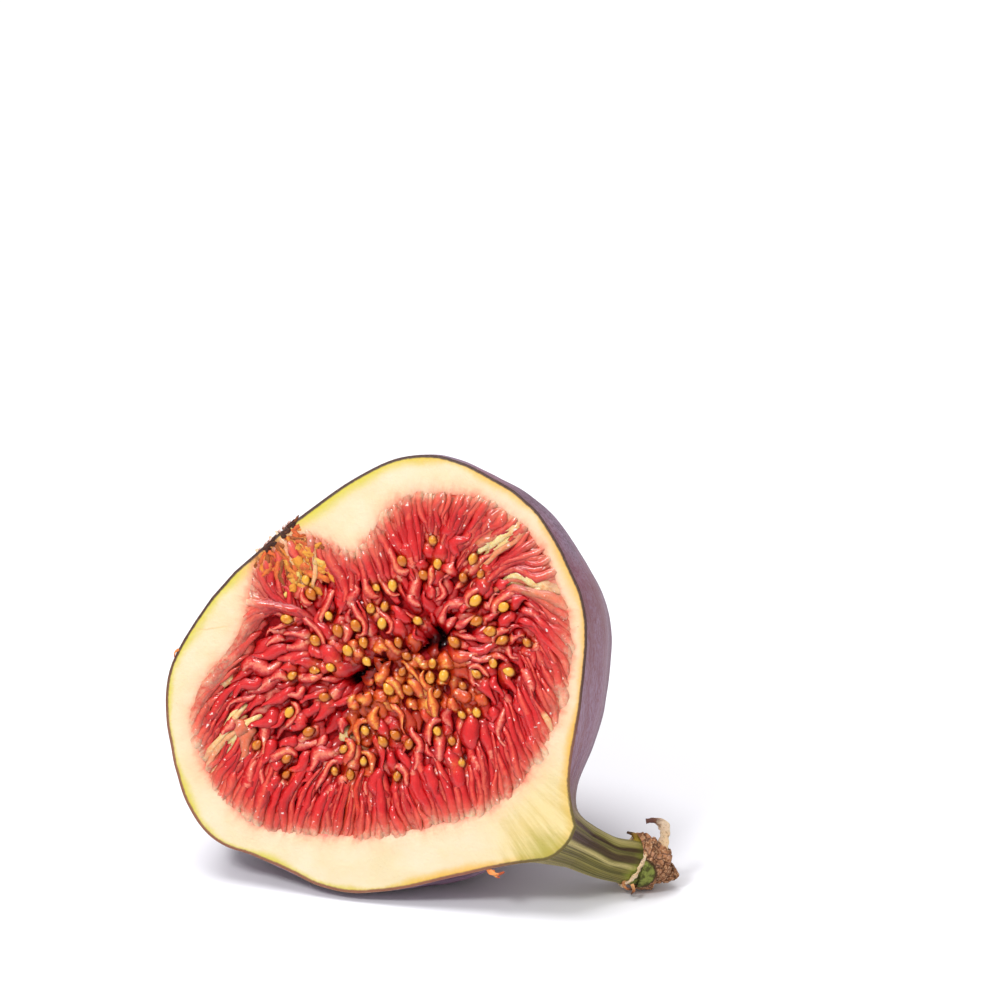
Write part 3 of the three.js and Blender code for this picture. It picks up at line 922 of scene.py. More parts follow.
cream_dry = dry_finish("fig_dry_cream", paint(222, 192, 150), paint(216, 192, 162), paint(92, 58, 50))
node_collar = collar()
set_layer(node_collar, "along", lambda place: 0.35 + 0.6 * noise.noise(place * 0.9))
finish_piece("fig_collar", node_collar, [cream_dry])

# %% [markdown]
# ### Scales and shreds
# Dry scales stay on the stalk's end: one long strip has curled over, and a short one points up. A knife
# that isn't quite sharp also leaves a few shreds of skin at the rim. All are made alike: a flat oval is
# drawn along a few points, narrowing towards its tip and twisting as it goes.

# %% Flat strips along points
STRIP_STEPS = 28
STRIP_AROUND = 20


def strip(bm, points, width, thick, twist=(0.0, 0.0), narrowing=0.7):
    table = [(k, *point) for k, point in enumerate(points)]
    last = len(points) - 1
    rings = []
    for step in range(STRIP_STEPS + 1):
        k = last * step / STRIP_STEPS
        centre = Vector(table_value(table, column, k) for column in (1, 2, 3))
        ahead, behind = min(k + 0.1, last), max(k - 0.1, 0)
        line = Vector(
            table_value(table, column, ahead) - table_value(table, column, behind) for column in (1, 2, 3)
        )
        side = line.cross(Vector((0, 0, 1))).normalized()
        front = side.cross(line).normalized()
        turn = twist[0] + (twist[1] - twist[0]) * k / last
        wide = side * math.cos(turn) + front * math.sin(turn)
        flat = front * math.cos(turn) - side * math.sin(turn)
        half = width / 2 * (1 - narrowing * (k / last) ** 2) * (1 + 0.5 * noise.noise(centre * 1.7))
        ring = []
        for j in range(STRIP_AROUND):
            angle = 2 * math.pi * j / STRIP_AROUND
            across = math.cos(angle) * half
            off = math.sin(angle) * thick / 2 - 0.25 * across * across
            ring.append(centre + wide * across + flat * off)
        rings.append(ring)
    before = len(bm.verts)
    loft(bm, rings)
    bmesh.ops.recalc_face_normals(bm, faces=bm.faces[:])
    layer = bm.verts.layers.float.get("along") or bm.verts.layers.float.new("along")
    start, end = Vector(points[0]), Vector(points[-1])
    bm.verts.ensure_lookup_table()
    for vertex in bm.verts[before:]:
        near, far = (vertex.co - start).length, (vertex.co - end).length
        vertex[layer] = near / (near + far)


CURLED = [
    (33.4, -18.2, -11.2),
    (33.5, -17.2, -11.4),
    (33.6, -16.2, -11.5),
    (33.6, -15.3, -11.5),
    (33.1, -14.6, -11.4),
    (32.2, -14.35, -11.3),
    (31.3, -14.55, -11.2),
]
curled = bmesh.new()
strip(curled, CURLED, 1.2, 0.25, (0.25, -0.3), 0.45)
finish_piece("fig_curled_scale", curled, [cream_dry])

POINTED = [
    (30.7, -17.6, -10.3),
    (30.55, -16.7, -10.3),
    (30.15, -16.2, -10.2),
    (29.35, -16.0, -10.1),
]
pointed = bmesh.new()
strip(pointed, POINTED, 1.0, 0.4)
yellow_dry = dry_finish("fig_dry_yellow", paint(214, 190, 66), paint(140, 104, 36), paint(60, 42, 28))
finish_piece("fig_pointed_scale", pointed, [yellow_dry])

# %% Shreds at the node and at the rim
NODE_TWIST = (0.2, 0.5)
NODE_SHREDS = [  # points, width and thickness, and twist where there is one
    (
        [(30.2, -21.3, -8.5), (29.9, -21.9, -8.2), (30.3, -22.4, -8.2), (31.0, -22.5, -8.6)],
        0.5,
        0.25,
        NODE_TWIST,
    ),
    ([(30.9, -21.8, -8.2), (31.2, -22.5, -8.1), (30.9, -23.0, -8.2)], 0.4, 0.2),
]
RIM_SHREDS = [
    ([(15.0, -21.0, -0.4), (15.8, -21.45, 0.0), (16.6, -21.55, 0.1), (17.3, -21.2, -0.1)], 0.55, 0.25),
    ([(15.9, -21.2, -0.2), (16.3, -21.75, 0.1), (16.9, -21.9, 0.2)], 0.4, 0.2),
    ([(-24.9, 0.7, -0.1), (-25.3, 0.3, 0.05), (-25.35, -0.3, 0.0)], 0.3, 0.15),
]
shreds = bmesh.new()
for shred in NODE_SHREDS:
    strip(shreds, *shred)
brown_dry = dry_finish("fig_dry_brown", paint(214, 158, 104), paint(150, 92, 54), paint(74, 42, 28))
finish_piece("fig_node_shreds", shreds, [brown_dry])

rim_shreds = bmesh.new()
for shred in RIM_SHREDS:
    strip(rim_shreds, *shred)
orange_dry = dry_finish("fig_rim_shred", paint(226, 130, 66), paint(232, 150, 84), paint(170, 78, 46))
finish_piece("fig_rim_shreds", rim_shreds, [orange_dry])

# %% [markdown]
# ## The pulp's ground
# Under the florets lies dark red tissue that is hardly seen, but every gap between two florets shows it.
# It is a closed bowl with an uneven top, highest along the wall and falling into the crease at the
# middle.

# %% Ground of the pulp
HOLLOW_DEPTH = 4.0
HOLLOW_WIDTH = 1.35
CREASE_ARMS = [  # narrow clefts that run out from the ends of the crease
    (CREASE[0], Vector((-6.4, -1.3, 0))),
    (CREASE[0], Vector((-0.4, -2.0, 0))),
    (CREASE[1], Vector((10.6, 6.0, 0))),
    (CREASE[1], Vector((5.0, 9.4, 0))),
    (CREASE[1], Vector((8.6, 2.6, 0))),
]
GROUND_SHARES = [0.97, 0.92, 0.86, 0.79, 0.72, 0.64, 0.56, 0.48, 0.4, 0.32, 0.25, 0.18, 0.12, 0.06]
GROUND_AROUND = 144


def nearest_on(start, end, point, margin=0.0):
    along = end - start
    share = (Vector((point.x, point.y, 0)) - start).dot(along) / along.length_squared
    return start + along * min(max(share, margin), 1 - margin)


def nearest_in_crease(point):
    return nearest_on(*CREASE, point, 0.04)


def hollow(point):
    """How far the pulp falls away at a point: two deep holes at the ends of the crease, and a dip between."""
    flat = Vector((point.x, point.y, 0))
    holes = sum(math.exp(-(((flat - end).length / HOLLOW_WIDTH) ** 2)) for end in CREASE)
    dip = math.exp(-(((flat - nearest_in_crease(flat)).length / 0.7) ** 2))
    arms = 0.0
    for start, end in CREASE_ARMS:
        on_arm = nearest_on(start, end, flat)
        fading = 1 - (on_arm - start).length / (end - start).length
        arms = max(arms, fading * math.exp(-(((flat - on_arm).length / 0.42) ** 2)))
    return holes + 0.22 * dip + 0.4 * arms


def ground_height(point):
    inside = smoothstep(0, 3.0, edge_distance(point))
    return -0.4 - (BED_DROP - 0.4) * inside - HOLLOW_DEPTH * hollow(point) + 0.25 * noise.noise(point * 0.8)


def ground_place(angle, share):
    reach, _ = pulp_reach(angle)
    place = PULP_MIDDLE + Vector((math.cos(angle), math.sin(angle), 0)) * reach * share
    place.z = ground_height(place) if share < 1 else -0.35
    return place


def pulp_finish():
    f = Finish("fig_pulp_ground")
    face = f.face_place()
    blotch = f.noise(face, 0.5, 4, 0.6)
    dark = f.mix(f.step(0.35, 0.65, blotch), paint(120, 0, 8), paint(176, 4, 14))
    f.set(Base_Color=f.mix(f.step(0.4, 1.6, f.attribute("wall")), paint(226, 96, 74), dark))
    f.set(Roughness=0.5, Specular_IOR_Level=0.15)
    f.bump(f.noise(face, 1.4, 4, 0.6), 0.3)
    return f


angles = [2 * math.pi * k / GROUND_AROUND for k in range(GROUND_AROUND)]
ground = bmesh.new()
rings = [[ground_place(a, share) for a in angles] for share in reversed([1.0] + GROUND_SHARES)]
rings += [[bowl_place(a, share, 0.0) for a in angles] for share in BOWL_SHARES]
loft(ground, rings)
bmesh.ops.recalc_face_normals(ground, faces=ground.faces[:])
set_layer(ground, "wall", edge_distance)
finish_piece("fig_pulp_ground", ground, [pulp_finish()], ["pulp"])

# %% [markdown]
# ## Which way the florets grow
# A floret grows on a thin foot from the wall towards the crease. Near the wall the knife and their own
# weight have combed them downwards. So the way out at any spot is the way from the crease, bent down
# towards the wall, and a slow noise swings whole tufts together. Strands are drawn by walking along this
# field.

# %% Flow
COMB = 1.15


def share_of_way(point):
    """0 at the wall, 1 at the crease."""
    to_edge = edge_distance(point)
    return to_edge / (to_edge + (Vector((point.x, point.y, 0)) - nearest_in_crease(point)).length + 1e-6)


def is_inside(point):
    angle = math.atan2(point.y - PULP_MIDDLE.y, point.x - PULP_MIDDLE.x)
    return (Vector((point.x, point.y, 0)) - PULP_MIDDLE).length < pulp_reach(angle)[0]


def way_out(point):
    flat = Vector((point.x, point.y, 0))
    away = flat - nearest_in_crease(flat)
    if away.length < 1e-4:
        return Vector((0, -1, 0))
    away.normalize()
    lower_part = 1 - smoothstep(0, 8, flat.y - 2 - 7 * smoothstep(-5, 8, flat.x))
    combed = COMB * (1 - smoothstep(0.05, 0.5, share_of_way(flat))) * lower_part
    slow = noise.noise_vector(flat * 0.14)
    quick = noise.noise_vector(Vector((flat.x, flat.y, 7.0)) * 0.42)
    push = Vector((slow.x, slow.y, 0)) * 0.75 + Vector((quick.x, quick.y, 0)) * 0.45
    return (away + Vector((0, -combed, 0)) + push).normalized()


def walk(start, distance, steps):
    """Places along the flow, inwards where the distance is negative."""
    places = [start.copy()]
    for _ in range(steps):
        places.append(places[-1] + way_out(places[-1]) * (distance / steps))
    return places


# %% [markdown]
# ## Where the seeds sit
# The seeds come before the florets, because the florets make room for them. Places are tried at random,
# with a fixed seed, and kept where no other seed is too near. None lies in the fine fringe along the
# wall.

# %% Seed places
SEED_COUNT = 66
SEED_SPACING = 1.7
SEED_TRIES = 6000
HUGGED_SHARE = 0.45  # of the seeds lie in a curled strand
PULP_BOX = ((-23, 23), (-20, 22.5))  # the pulp lies inside this
rng = random.Random(11)


def scatter(count, tries, fits):
    places = []
    for _ in range(tries):
        if len(places) >= count:
            break
        point = Vector((rng.uniform(*PULP_BOX[0]), rng.uniform(*PULP_BOX[1]), 0))
        if is_inside(point) and fits(point, places):
            places.append(point)
    return places


def seed_fits(point, places):
    if edge_distance(point) < 3.4 or hollow(point) > 0.3:
        return False
    if rng.random() > smoothstep(0.15, 0.45, share_of_way(point)):
        return False
    return all((point - other).length > SEED_SPACING for other in places)


seed_places = scatter(SEED_COUNT, SEED_TRIES, seed_fits)
seed_flat = np.array([(p.x, p.y) for p in seed_places])
hugged = [rng.random() < HUGGED_SHARE for _ in seed_places]
print(len(seed_places), "seeds,", sum(hugged), "of them in a curled strand")

# %% [markdown]
# ## The florets
# Each floret is a soft sac on a thin foot. The knife has cut most of them through, so their tops are
# level with the face and pale, while their sides stay red. One short tube with few faces is made once,
# and a copy of it is bent along each path. Fine strands line the wall, sacs of three shapes fill the
# ground in two layers, short amber drops lie about the crease, and some strands curl round a seed.

# %% The master tube
TUBE_SIDES = 6
TUBE_STEPS = 9


def master_tube():
    bm = bmesh.new()
    steps = [k / TUBE_STEPS for k in range(TUBE_STEPS + 1)]
    turns = [2 * math.pi * (j + 0.5) / TUBE_SIDES for j in range(TUBE_SIDES)]
    first = start_ring(bm, [Vector((0, math.cos(a), math.sin(a))) for a in turns])
    ring = first
    for t in steps[1:]:
        ring = extrude_ring(bm, ring, [Vector((t, math.cos(a), math.sin(a))) for a in turns])
    for end in (first, ring):
        bmesh.ops.contextual_create(bm, geom=ring_edges(end))
    bmesh.ops.recalc_face_normals(bm, faces=bm.faces[:])
    mesh = bpy.data.meshes.new("master_tube")
    bm.to_mesh(mesh)
    bm.free()
    return mesh


tube = master_tube()
print("master tube", len(tube.vertices), "vertices", len(tube.polygons), "faces")


# %% Bending a tube into a floret
STRAND_MARKS = ("tone", "warm", "crown", "wall", "pale")
TOP_LIMIT = 0.12  # no floret stands further out of the cut than this
PALE_TUFTS = [  # place on the face and radius of tufts that stayed pale and dry
    ((-10.6, 12.4), 2.3),
    ((13.8, 17.8), 1.7),
    ((-18.8, -3.2), 1.5),
    ((-17.6, -9.6), 2.2),
    ((18.4, 11.8), 1.7),
    ((-2.9, -9.2), 1.3),
    ((19.6, -1.6), 1.1),
]
RED_SPOTS = [  # the same for spots that are clear red throughout
    ((1.8, 16.2), 2.6),
    ((19.6, -4.2), 2.4),
    ((6.4, -12.5), 2.2),
    ((-8.8, -11.9), 2.0),
    ((20.6, 6.4), 2.0),
]


def new_strands():
    bm = bmesh.new()
    for name in STRAND_MARKS:
        bm.verts.layers.float.new(name)
    return bm


def nearness(point, spots):
    """1 inside one of the round spots, 0 outside them all."""
    away = [Vector((point.x - x, point.y - y)).length / radius for (x, y), radius in spots]
    return max(1 - smoothstep(0.5, 1.1, off) for off in away)


def paleness(point):
    return nearness(point, PALE_TUFTS)


def warmth(point):
    """1 in the golden middle and below it, 0 in the red outer pulp."""
    off = Vector(((point.x - 3.6) / 9.5, (point.y - 0.2) / 6.6, 0)).length
    band = Vector(((point.x + 1.5) / 3.0, (point.y + 6.0) / 7.0, 0)).length
    uneven = noise.noise(Vector((point.x, point.y, 3.0)) * 0.3) * 0.5
    return 1 - smoothstep(0.5, 1.15, min(off, band * 1.1) + uneven)


def near_seed(point):
    """1 at a seed, 0 from about two millimetres away."""
    apart = np.hypot(seed_flat[:, 0] - point.x, seed_flat[:, 1] - point.y)
    return math.exp(-((apart.min() / 1.25) ** 2))


def make_room(point, own_seed=-1):
    """How far a floret sinks where a seed sits, and into the hollow."""
    apart = np.hypot(seed_flat[:, 0] - point.x, seed_flat[:, 1] - point.y)
    if own_seed >= 0:
        apart[own_seed] = 9.0
    k = int(np.argmin(apart))
    reach = 1.15 if hugged[k] else 0.8
    return 0.6 * math.exp(-((apart[k] / reach) ** 4)) + 2.6 * hollow(point)


def wavy(places, wave):
    """Bends a path from side to side, a little differently each time."""
    phase, turns = rng.uniform(0, 2 * math.pi), rng.uniform(0.7, 1.4)
    bent = []
    for k, place in enumerate(places):
        forward = places[min(k + 1, TUBE_STEPS)] - places[max(k - 1, 0)]
        side = Vector((-forward.y, forward.x, 0)).normalized()
        bent.append(place + side * wave * math.sin(phase + 2 * math.pi * turns * k / TUBE_STEPS))
    return bent


def bend_tube(bm, places, width, level, fullness_at, tone, warm, own_seed=-1, pale=0.0, end_drop=0.35):
    layers = [bm.verts.layers.float[name] for name in STRAND_MARKS]
    before = len(bm.verts)
    bm.from_mesh(tube)
    bm.verts.ensure_lookup_table()
    lumps = rng.uniform(0, 50)
    depths = [make_room(place, own_seed) for place in places]
    walls = [edge_distance(place) * (1 if is_inside(place) else -1) for place in places]
    warms = [max(warm, 0.62 * near_seed(place)) for place in places]
    reds = [nearness(place, RED_SPOTS) for place in places]
    for vertex in bm.verts[before:]:
        t, sideways, up = vertex.co
        k = round(t * TUBE_STEPS)
        forward = (places[min(k + 1, TUBE_STEPS)] - places[max(k - 1, 0)]).normalized()
        across = Vector((-forward.y, forward.x, 0))
        half = width / 2 * fullness_at(t) * (1 + 0.5 * noise.noise(Vector((t * 3.2, lumps, 0.0))))
        place = places[k] + across * sideways * half * 1.12
        ruffle = noise.noise_vector(Vector((place.x, place.y, sideways)) * 1.1) * 0.16 * min(width, 1.0)
        raw = (up - 0.4) * half * 1.15
        top = min(raw, 0.0) + max(raw, 0.0) * 0.16
        place.z = level + top - end_drop * abs(2 * t - 1) ** 5 - depths[k]
        vertex.co = place + ruffle
        vertex.co.z = min(vertex.co.z, TOP_LIMIT)
        marks = (max(tone, reds[k]), warms[k], max(up, 0.8 * reds[k]), walls[k], pale)
        for layer, value in zip(layers, marks):
            vertex[layer] = value


def strand_fullness(t):
    return (0.3 + 0.7 * smoothstep(0, 0.25, t)) * (1 - 0.75 * t**4)


def sac_fullness(t):
    return max(math.sin(math.pi * (0.05 + 0.9 * t)), 0) ** 0.45


def drop_fullness(t):
    return max(math.sin(math.pi * (0.06 + 0.88 * t**0.8)), 0) ** 0.65


def comma_fullness(t):
    return (0.3 + 0.7 * smoothstep(0.15, 0.75, t)) * max(math.sin(math.pi * (0.12 + 0.84 * t)), 0) ** 0.35


# %% Fine strands along the wall
fringe = new_strands()
FRINGE = [  # count, length, width, level
    (230, (3.5, 10.5), (0.6, 1.35), (-0.2, 0.0)),
    (240, (5.5, 10.5), (0.9, 1.5), (-0.42, -0.2)),
]
for count, lengths, widths, levels in FRINGE:
    for k in range(count):
        at = int((k + rng.uniform(-0.5, 0.5)) / count * len(edge_line)) % len(edge_line)
        edge = Vector((*edge_line[at], 0))
        start = walk(edge, rng.uniform(0.4, 1.7), 2)[-1]
        places = wavy(walk(start, -rng.uniform(*lengths), TUBE_STEPS), rng.uniform(0, 0.34))
        bend_tube(
            fringe,
            places,
            rng.uniform(*widths),
            rng.uniform(*levels),
            strand_fullness,
            rng.random(),
            warmth(places[-1]) * 0.4,
            pale=paleness(places[4]),
        )

# %% Sacs in two layers
SAC_TRIES = 9000
GOLDEN_FROM = 0.55  # sacs this warm are the short amber drops
LAYERS = [  # name, most, spacing along and across, length, width, level
    ("lower", 360, (2.1, 0.95), (2.6, 4.6), (1.3, 1.9), (-0.8, -0.4)),
    ("upper", 300, (2.6, 1.15), (1.8, 5.6), (0.9, 2.1), (-0.3, 0.0)),
]


def sac_fits(spacing):
    def fits(point, places):
        if edge_distance(point) < (4.0 if spacing[1] > 1 else 1.2) or hollow(point) > 0.85:
            return False
        line = way_out(point)
        for other in places:
            apart = point - other
            along = apart.dot(line)
            if (along / spacing[0]) ** 2 + (apart.length_squared - along * along) / spacing[1] ** 2 < 1:
                return False
        return True

    return fits


florets = new_strands()
for name, most, spacing, lengths, widths, levels in LAYERS:
    centres = scatter(most, SAC_TRIES, sac_fits(spacing))
    for centre in centres:
        warm = warmth(centre)
        golden = warm > GOLDEN_FROM and name == "upper"
        length = rng.uniform(1.6, 3.0) if golden else rng.uniform(*lengths)
        width = rng.uniform(1.2, 1.9) if golden else rng.uniform(*widths)
        start = walk(centre, length / 2, 3)[-1]
        places = wavy(walk(start, -length, TUBE_STEPS), rng.uniform(0.0, 0.15) * length)
        if golden:
            turn = Matrix.Rotation(rng.uniform(-1.1, 1.1), 3, "Z")
            places = [centre + turn @ (place - centre) for place in places]
        shape = drop_fullness if golden else rng.choice((sac_fullness, comma_fullness, comma_fullness))
        level, tone = rng.uniform(*levels), rng.random()
        warm *= rng.uniform(0.75, 1.1)
        bend_tube(florets, places, width, level, shape, tone, warm, pale=paleness(centre))
    print(name, "layer", len(centres), "sacs")

# %% Strands that curl round a seed
HUG_RADIUS = 0.98


def hook_places(seed_place, outward, side_sign, tail, curl):
    """Comes in from the wall, passes the seed on one side and turns round its inner end."""
    side = Vector((-outward.y, outward.x, 0)) * side_sign
    length = tail + HUG_RADIUS * curl
    places = []
    for k in range(TUBE_STEPS + 1):
        gone = length * (k / TUBE_STEPS)
        if gone < tail:
            places.append(seed_place + side * HUG_RADIUS + outward * (tail - gone))
        else:
            turned = (gone - tail) / HUG_RADIUS
            round_it = side * math.cos(turned) - outward * math.sin(turned) * 1.2
            places.append(seed_place + round_it * HUG_RADIUS)
    return places


for k, place in enumerate(seed_places):
    if not hugged[k]:
        continue
    outward = way_out(place)
    side_sign, tail, curl = rng.choice((-1, 1)), rng.uniform(0.8, 3.6), rng.uniform(1.0, 2.6)
    places = wavy(hook_places(place, outward, side_sign, tail, curl), 0.1)
    width, level, tone = rng.uniform(0.7, 1.25), rng.uniform(-0.1, 0.04), rng.uniform(0, 0.5)
    warm, pale = warmth(place) * 0.8, paleness(place)
    bend_tube(florets, places, width, level, sac_fullness, tone, warm, own_seed=k, pale=pale)

# %% [markdown]
# ## The eye
# The eye is the small door at the fruit's far end, closed by tiny scales. The cut runs through it, so it
# shows as a brown crust on the rim. Dry orange fibres fan out from it, and crumbs of yellow tissue lie
# below. They are the same bent tubes once more, with a finish that goes from brown through orange to
# yellow. A row of thin pale flakes, made like the scales of the stalk, stands along the rim.

# %% Eye
EYE_ON_RIM = Vector((-14.2, 15.0, 0))
RIM_LINE = Vector((0.69, 0.73, 0)).normalized()
INWARDS = Vector((0.73, -0.69, 0)).normalized()
EYE_PARTS = [  # count, inwards from the rim, along the rim, length, width, level, brown 0 to yellow 1
    ("crust", 60, (0.1, 0.55), 2.6, (0.8, 1.6), (0.3, 0.55), (-0.5, 0.02), 0.0),
    ("fibres", 120, (0.2, 2.2), 2.4, (1.6, 4.0), (0.35, 0.7), (-0.25, 0.0), 0.4),
    ("crumbs", 100, (2.2, 6.4), 2.3, (0.9, 2.8), (0.5, 1.0), (-0.3, 0.02), 0.66),
]
eye = new_strands()
for name, count, inward_range, half_span, lengths, widths, levels, yellow in EYE_PARTS:
    for _ in range(count):
        off_line = rng.uniform(-1, 1)
        root = EYE_ON_RIM + INWARDS * rng.uniform(*inward_range) + RIM_LINE * off_line * half_span
        heading = RIM_LINE if name == "crust" else (INWARDS + RIM_LINE * off_line * 0.7).normalized()
        swing = 0.25 if name == "crust" else 0.9
        heading = Matrix.Rotation(rng.uniform(-swing, swing), 3, "Z") @ heading
        length = rng.uniform(*lengths)
        straight = [root + heading * (length * k / TUBE_STEPS) for k in range(TUBE_STEPS + 1)]
        places = wavy(straight, rng.uniform(0, 0.16))
        shape = strand_fullness if name == "fibres" else sac_fullness
        width, level, tone = rng.uniform(*widths), rng.uniform(*levels), rng.random()
        warm = min(max(yellow + rng.uniform(-0.16, 0.22), 0), 1)
        bend_tube(eye, places, width, level, shape, tone, warm)


def eye_finish():
    f = Finish("fig_eye")
    face = f.face_place()
    fine = f.noise(face, 2.6, 5, 0.7)
    warm = f.attribute("warm") + (fine - 0.5) * 0.5
    look = f.mix(f.step(0.1, 0.35, warm), paint(62, 36, 26), paint(160, 84, 36))
    look = f.mix(f.step(0.3, 0.5, warm), look, paint(220, 96, 48))
    look = f.mix(f.step(0.5, 0.7, warm), look, paint(232, 150, 52))
    look = f.mix(f.step(0.75, 0.95, warm + (f.attribute("tone") - 0.5) * 0.5), look, paint(238, 204, 112))
    top = f.step(0.0, 0.85, f.attribute("crown") + (fine - 0.5) * 0.4)
    look = f.mix(top, f.mix(0.8, look, paint(140, 38, 12)), look)
    f.set(Base_Color=look, Roughness=0.35 + 0.3 * fine, Specular_IOR_Level=0.25)
    f.set(Subsurface_Weight=0.25, Subsurface_Radius=(1.0, 0.6, 0.25), Subsurface_Scale=0.5 * MM)
    f.bump(fine, 0.12)
    return f


finish_piece("fig_eye", eye, [eye_finish()])

# %% Flakes of the eye
FLAKE_COUNT = 11
FLAKES_FROM, FLAKES_SPAN = -2.4, 4.6  # mm along the rim
flakes = bmesh.new()
for k in range(FLAKE_COUNT):
    along = FLAKES_FROM + FLAKES_SPAN * k / (FLAKE_COUNT - 1) + rng.uniform(-0.15, 0.15)
    foot = EYE_ON_RIM + RIM_LINE * along - INWARDS * 0.1 + Vector((0, 0, rng.uniform(-0.5, 0.0)))
    lean = RIM_LINE * rng.uniform(0.3, 0.9)
    tip = foot - INWARDS * rng.uniform(0.05, 0.3) + lean
    strip(flakes, [foot, foot.lerp(tip, 0.5) - INWARDS * 0.05, tip], rng.uniform(0.3, 0.5), 0.12)
flake_look = dry_finish("fig_eye_flake", paint(136, 92, 78), paint(224, 190, 180), paint(240, 218, 210))
finish_piece("fig_eye_flakes", flakes, [flake_look])

# %% [markdown]
# ## Finish of the florets
# A cut floret is pale pink on top and clear red at its sides. Painted shade makes its lower sides and the
# deep gaps nearly black-red, so the colour follows how high a spot lies under the face, and how near the
# floret's crown it is. Part of the sacs are clear red all over, the warm attribute leads from pink at the
# wall to amber at the middle, and where strands leave the wall they start out in its cream. Small pale
# flecks on the wet crowns are painted glints.


# %% Floret finish
def floret_finish(name, top_red, top_warm, red_from, side_shade_span):
    f = Finish(name)
    face = f.face_place()
    _, _, height = f.parts(face)
    tone, warm, crown, wall, pale = (f.attribute(mark) for mark in STRAND_MARKS)
    fine = f.noise(face, 2.2, 5, 0.7, 0.6)
    veil = f.noise(face, 0.75, 3, 0.6, 0.8)
    patches = f.noise(face, 0.3, 3, 0.55)
    warm = f.step(0.1, 0.9, warm + (fine - 0.5) * 0.6)
    clear = f.step(red_from, red_from + 0.15, tone + (patches - 0.5) * 0.9)
    top = f.mix(warm, top_red, f.mix(f.step(0.4, 0.62, veil), paint(228, 120, 40), top_warm))
    shine = f.step(0.5, 0.8, veil)
    clear_red = f.mix(shine, paint(214, 12, 20), paint(234, 62, 48))
    clear_gold = f.mix(shine, paint(212, 84, 16), paint(238, 150, 44))
    top = f.mix(clear, top, f.mix(warm, clear_red, clear_gold))
    flank = f.mix(warm, paint(206, 12, 16), paint(210, 80, 10))
    # painted shade: the lower sides of each floret, away from its crown, darken to nearly black-red
    side_shade = f.mix(warm, paint(112, 0, 4), paint(118, 20, 2))
    flank = f.mix(f.step(*side_shade_span, crown + (fine - 0.5) * 0.35), side_shade, flank)
    on_top = f.step(side_shade_span[1] - 0.2, side_shade_span[1] + 0.25, crown + (fine - 0.5) * 0.7)
    on_top = on_top * f.step(0.34, 0.54, veil + 0.06 - tone * 0.1)
    top = f.mix(on_top, flank, top)
    # painted shade: more than a millimetre under the face the red darkens with depth, to nearly black in the
    # crease
    deep_shade = f.mix(warm, paint(160, 0, 6), paint(134, 18, 2))
    deep_shade = f.mix(f.step(-2.6, -1.3, height), paint(44, 0, 4), deep_shade)
    low = f.mix(warm, paint(184, 4, 12), paint(184, 52, 6))
    low = f.mix(f.step(-1.2, -0.7, height), deep_shade, low)
    red = f.mix(f.step(-0.75, -0.3, height), low, top)
    straw = f.mix(f.step(0.3, 0.7, fine), paint(246, 196, 110), paint(253, 234, 176))
    red = f.mix(pale * f.step(-0.2, 0.8, crown) * f.step(0.35, 0.6, tone) * 0.85, red, straw)
    from_wall = wall + (fine - 0.5) * 2.4 + (patches - 0.5) * 3
    red = f.mix((1 - f.step(0.2, 2.8, from_wall)) * 0.55, red, paint(232, 104, 80))
    red = f.mix(f.step(-1.6, 0.9, from_wall), paint(236, 200, 162), red)
    # painted highlight: pale flecks on the crowns of the wet florets stand for glints
    painted_glint = f.step(0.66, 0.7, f.noise(face, 1.3, 2, 0.5))
    painted_glint = painted_glint * f.step(0.7, 0.95, crown) * f.step(-0.5, -0.2, height)
    red = f.mix(painted_glint * 0.85, red, f.mix(warm, paint(255, 226, 216), paint(255, 236, 190)))
    f.set(Base_Color=red, Roughness=0.22 + 0.25 * fine, Specular_IOR_Level=0.22)
    f.set(Coat_Weight=0.8 * f.step(0.2, 0.9, crown), Coat_Roughness=0.16)
    f.set(Subsurface_Weight=0.3, Subsurface_Radius=(1.0, 0.2, 0.1), Subsurface_Scale=0.7 * MM)
    f.bump(f.noise(face, 3.5, 4, 0.7) * 0.6 + veil * 0.4, 0.16)
    return f


fringe_look = floret_finish("fig_fringe", paint(230, 84, 62), paint(236, 120, 56), 0.5, (0.22, 0.82))
floret_look = floret_finish("fig_floret", paint(240, 142, 114), paint(242, 178, 70), 0.44, (0.24, 0.84))
finish_piece("fig_fringe", fringe, [fringe_look])
finish_piece("fig_florets", florets, [floret_look])

# %% [markdown]
# ## Seeds
# A fig's seed is a hard little nut, shaped like a drop and honey coloured. It starts as an icosphere, is
# drawn to a point at one end, and sits half in its bed, turned at random.

# %% Seeds
SEED_HALF = (0.86, 0.62, 0.5)
SEED_LIFT = -0.27


def master_seed():
    bm = bmesh.new()
    bmesh.ops.create_icosphere(bm, subdivisions=2, radius=1)
    for vertex in bm.verts:
        narrow = 1 - 0.38 * smoothstep(0.1, 1.0, vertex.co.x)
        vertex.co.y *= narrow
        vertex.co.z *= narrow
    bmesh.ops.scale(bm, vec=SEED_HALF, verts=bm.verts[:])
    mesh = bpy.data.meshes.new("master_seed")
    bm.to_mesh(mesh)
    bm.free()
    return mesh


def seed_finish():
    f = Finish("fig_seed")
    face = f.face_place()
    tone = f.attribute("tone")
    crown = f.attribute("crown")
    cloud = f.noise(face, 1.3, 4, 0.65)
    honey = f.mix(f.step(0.3, 0.7, cloud + (tone - 0.5) * 0.7), paint(196, 104, 14), paint(228, 164, 48))
    # painted shade: the lower part of each seed, under its crown, darkens to brown
    honey = f.mix(f.step(0.2, 0.8, crown + (cloud - 0.5) * 0.4), paint(120, 34, 6), honey)
    f.set(Base_Color=honey, Roughness=0.22, Specular_IOR_Level=0.3, Coat_Weight=0.5, Coat_Roughness=0.06)
    f.set(Subsurface_Weight=0.15, Subsurface_Radius=(1.0, 0.6, 0.2), Subsurface_Scale=0.5 * MM)
    f.bump(f.noise(face, 4.0, 2, 0.5), 0.05)
    return f


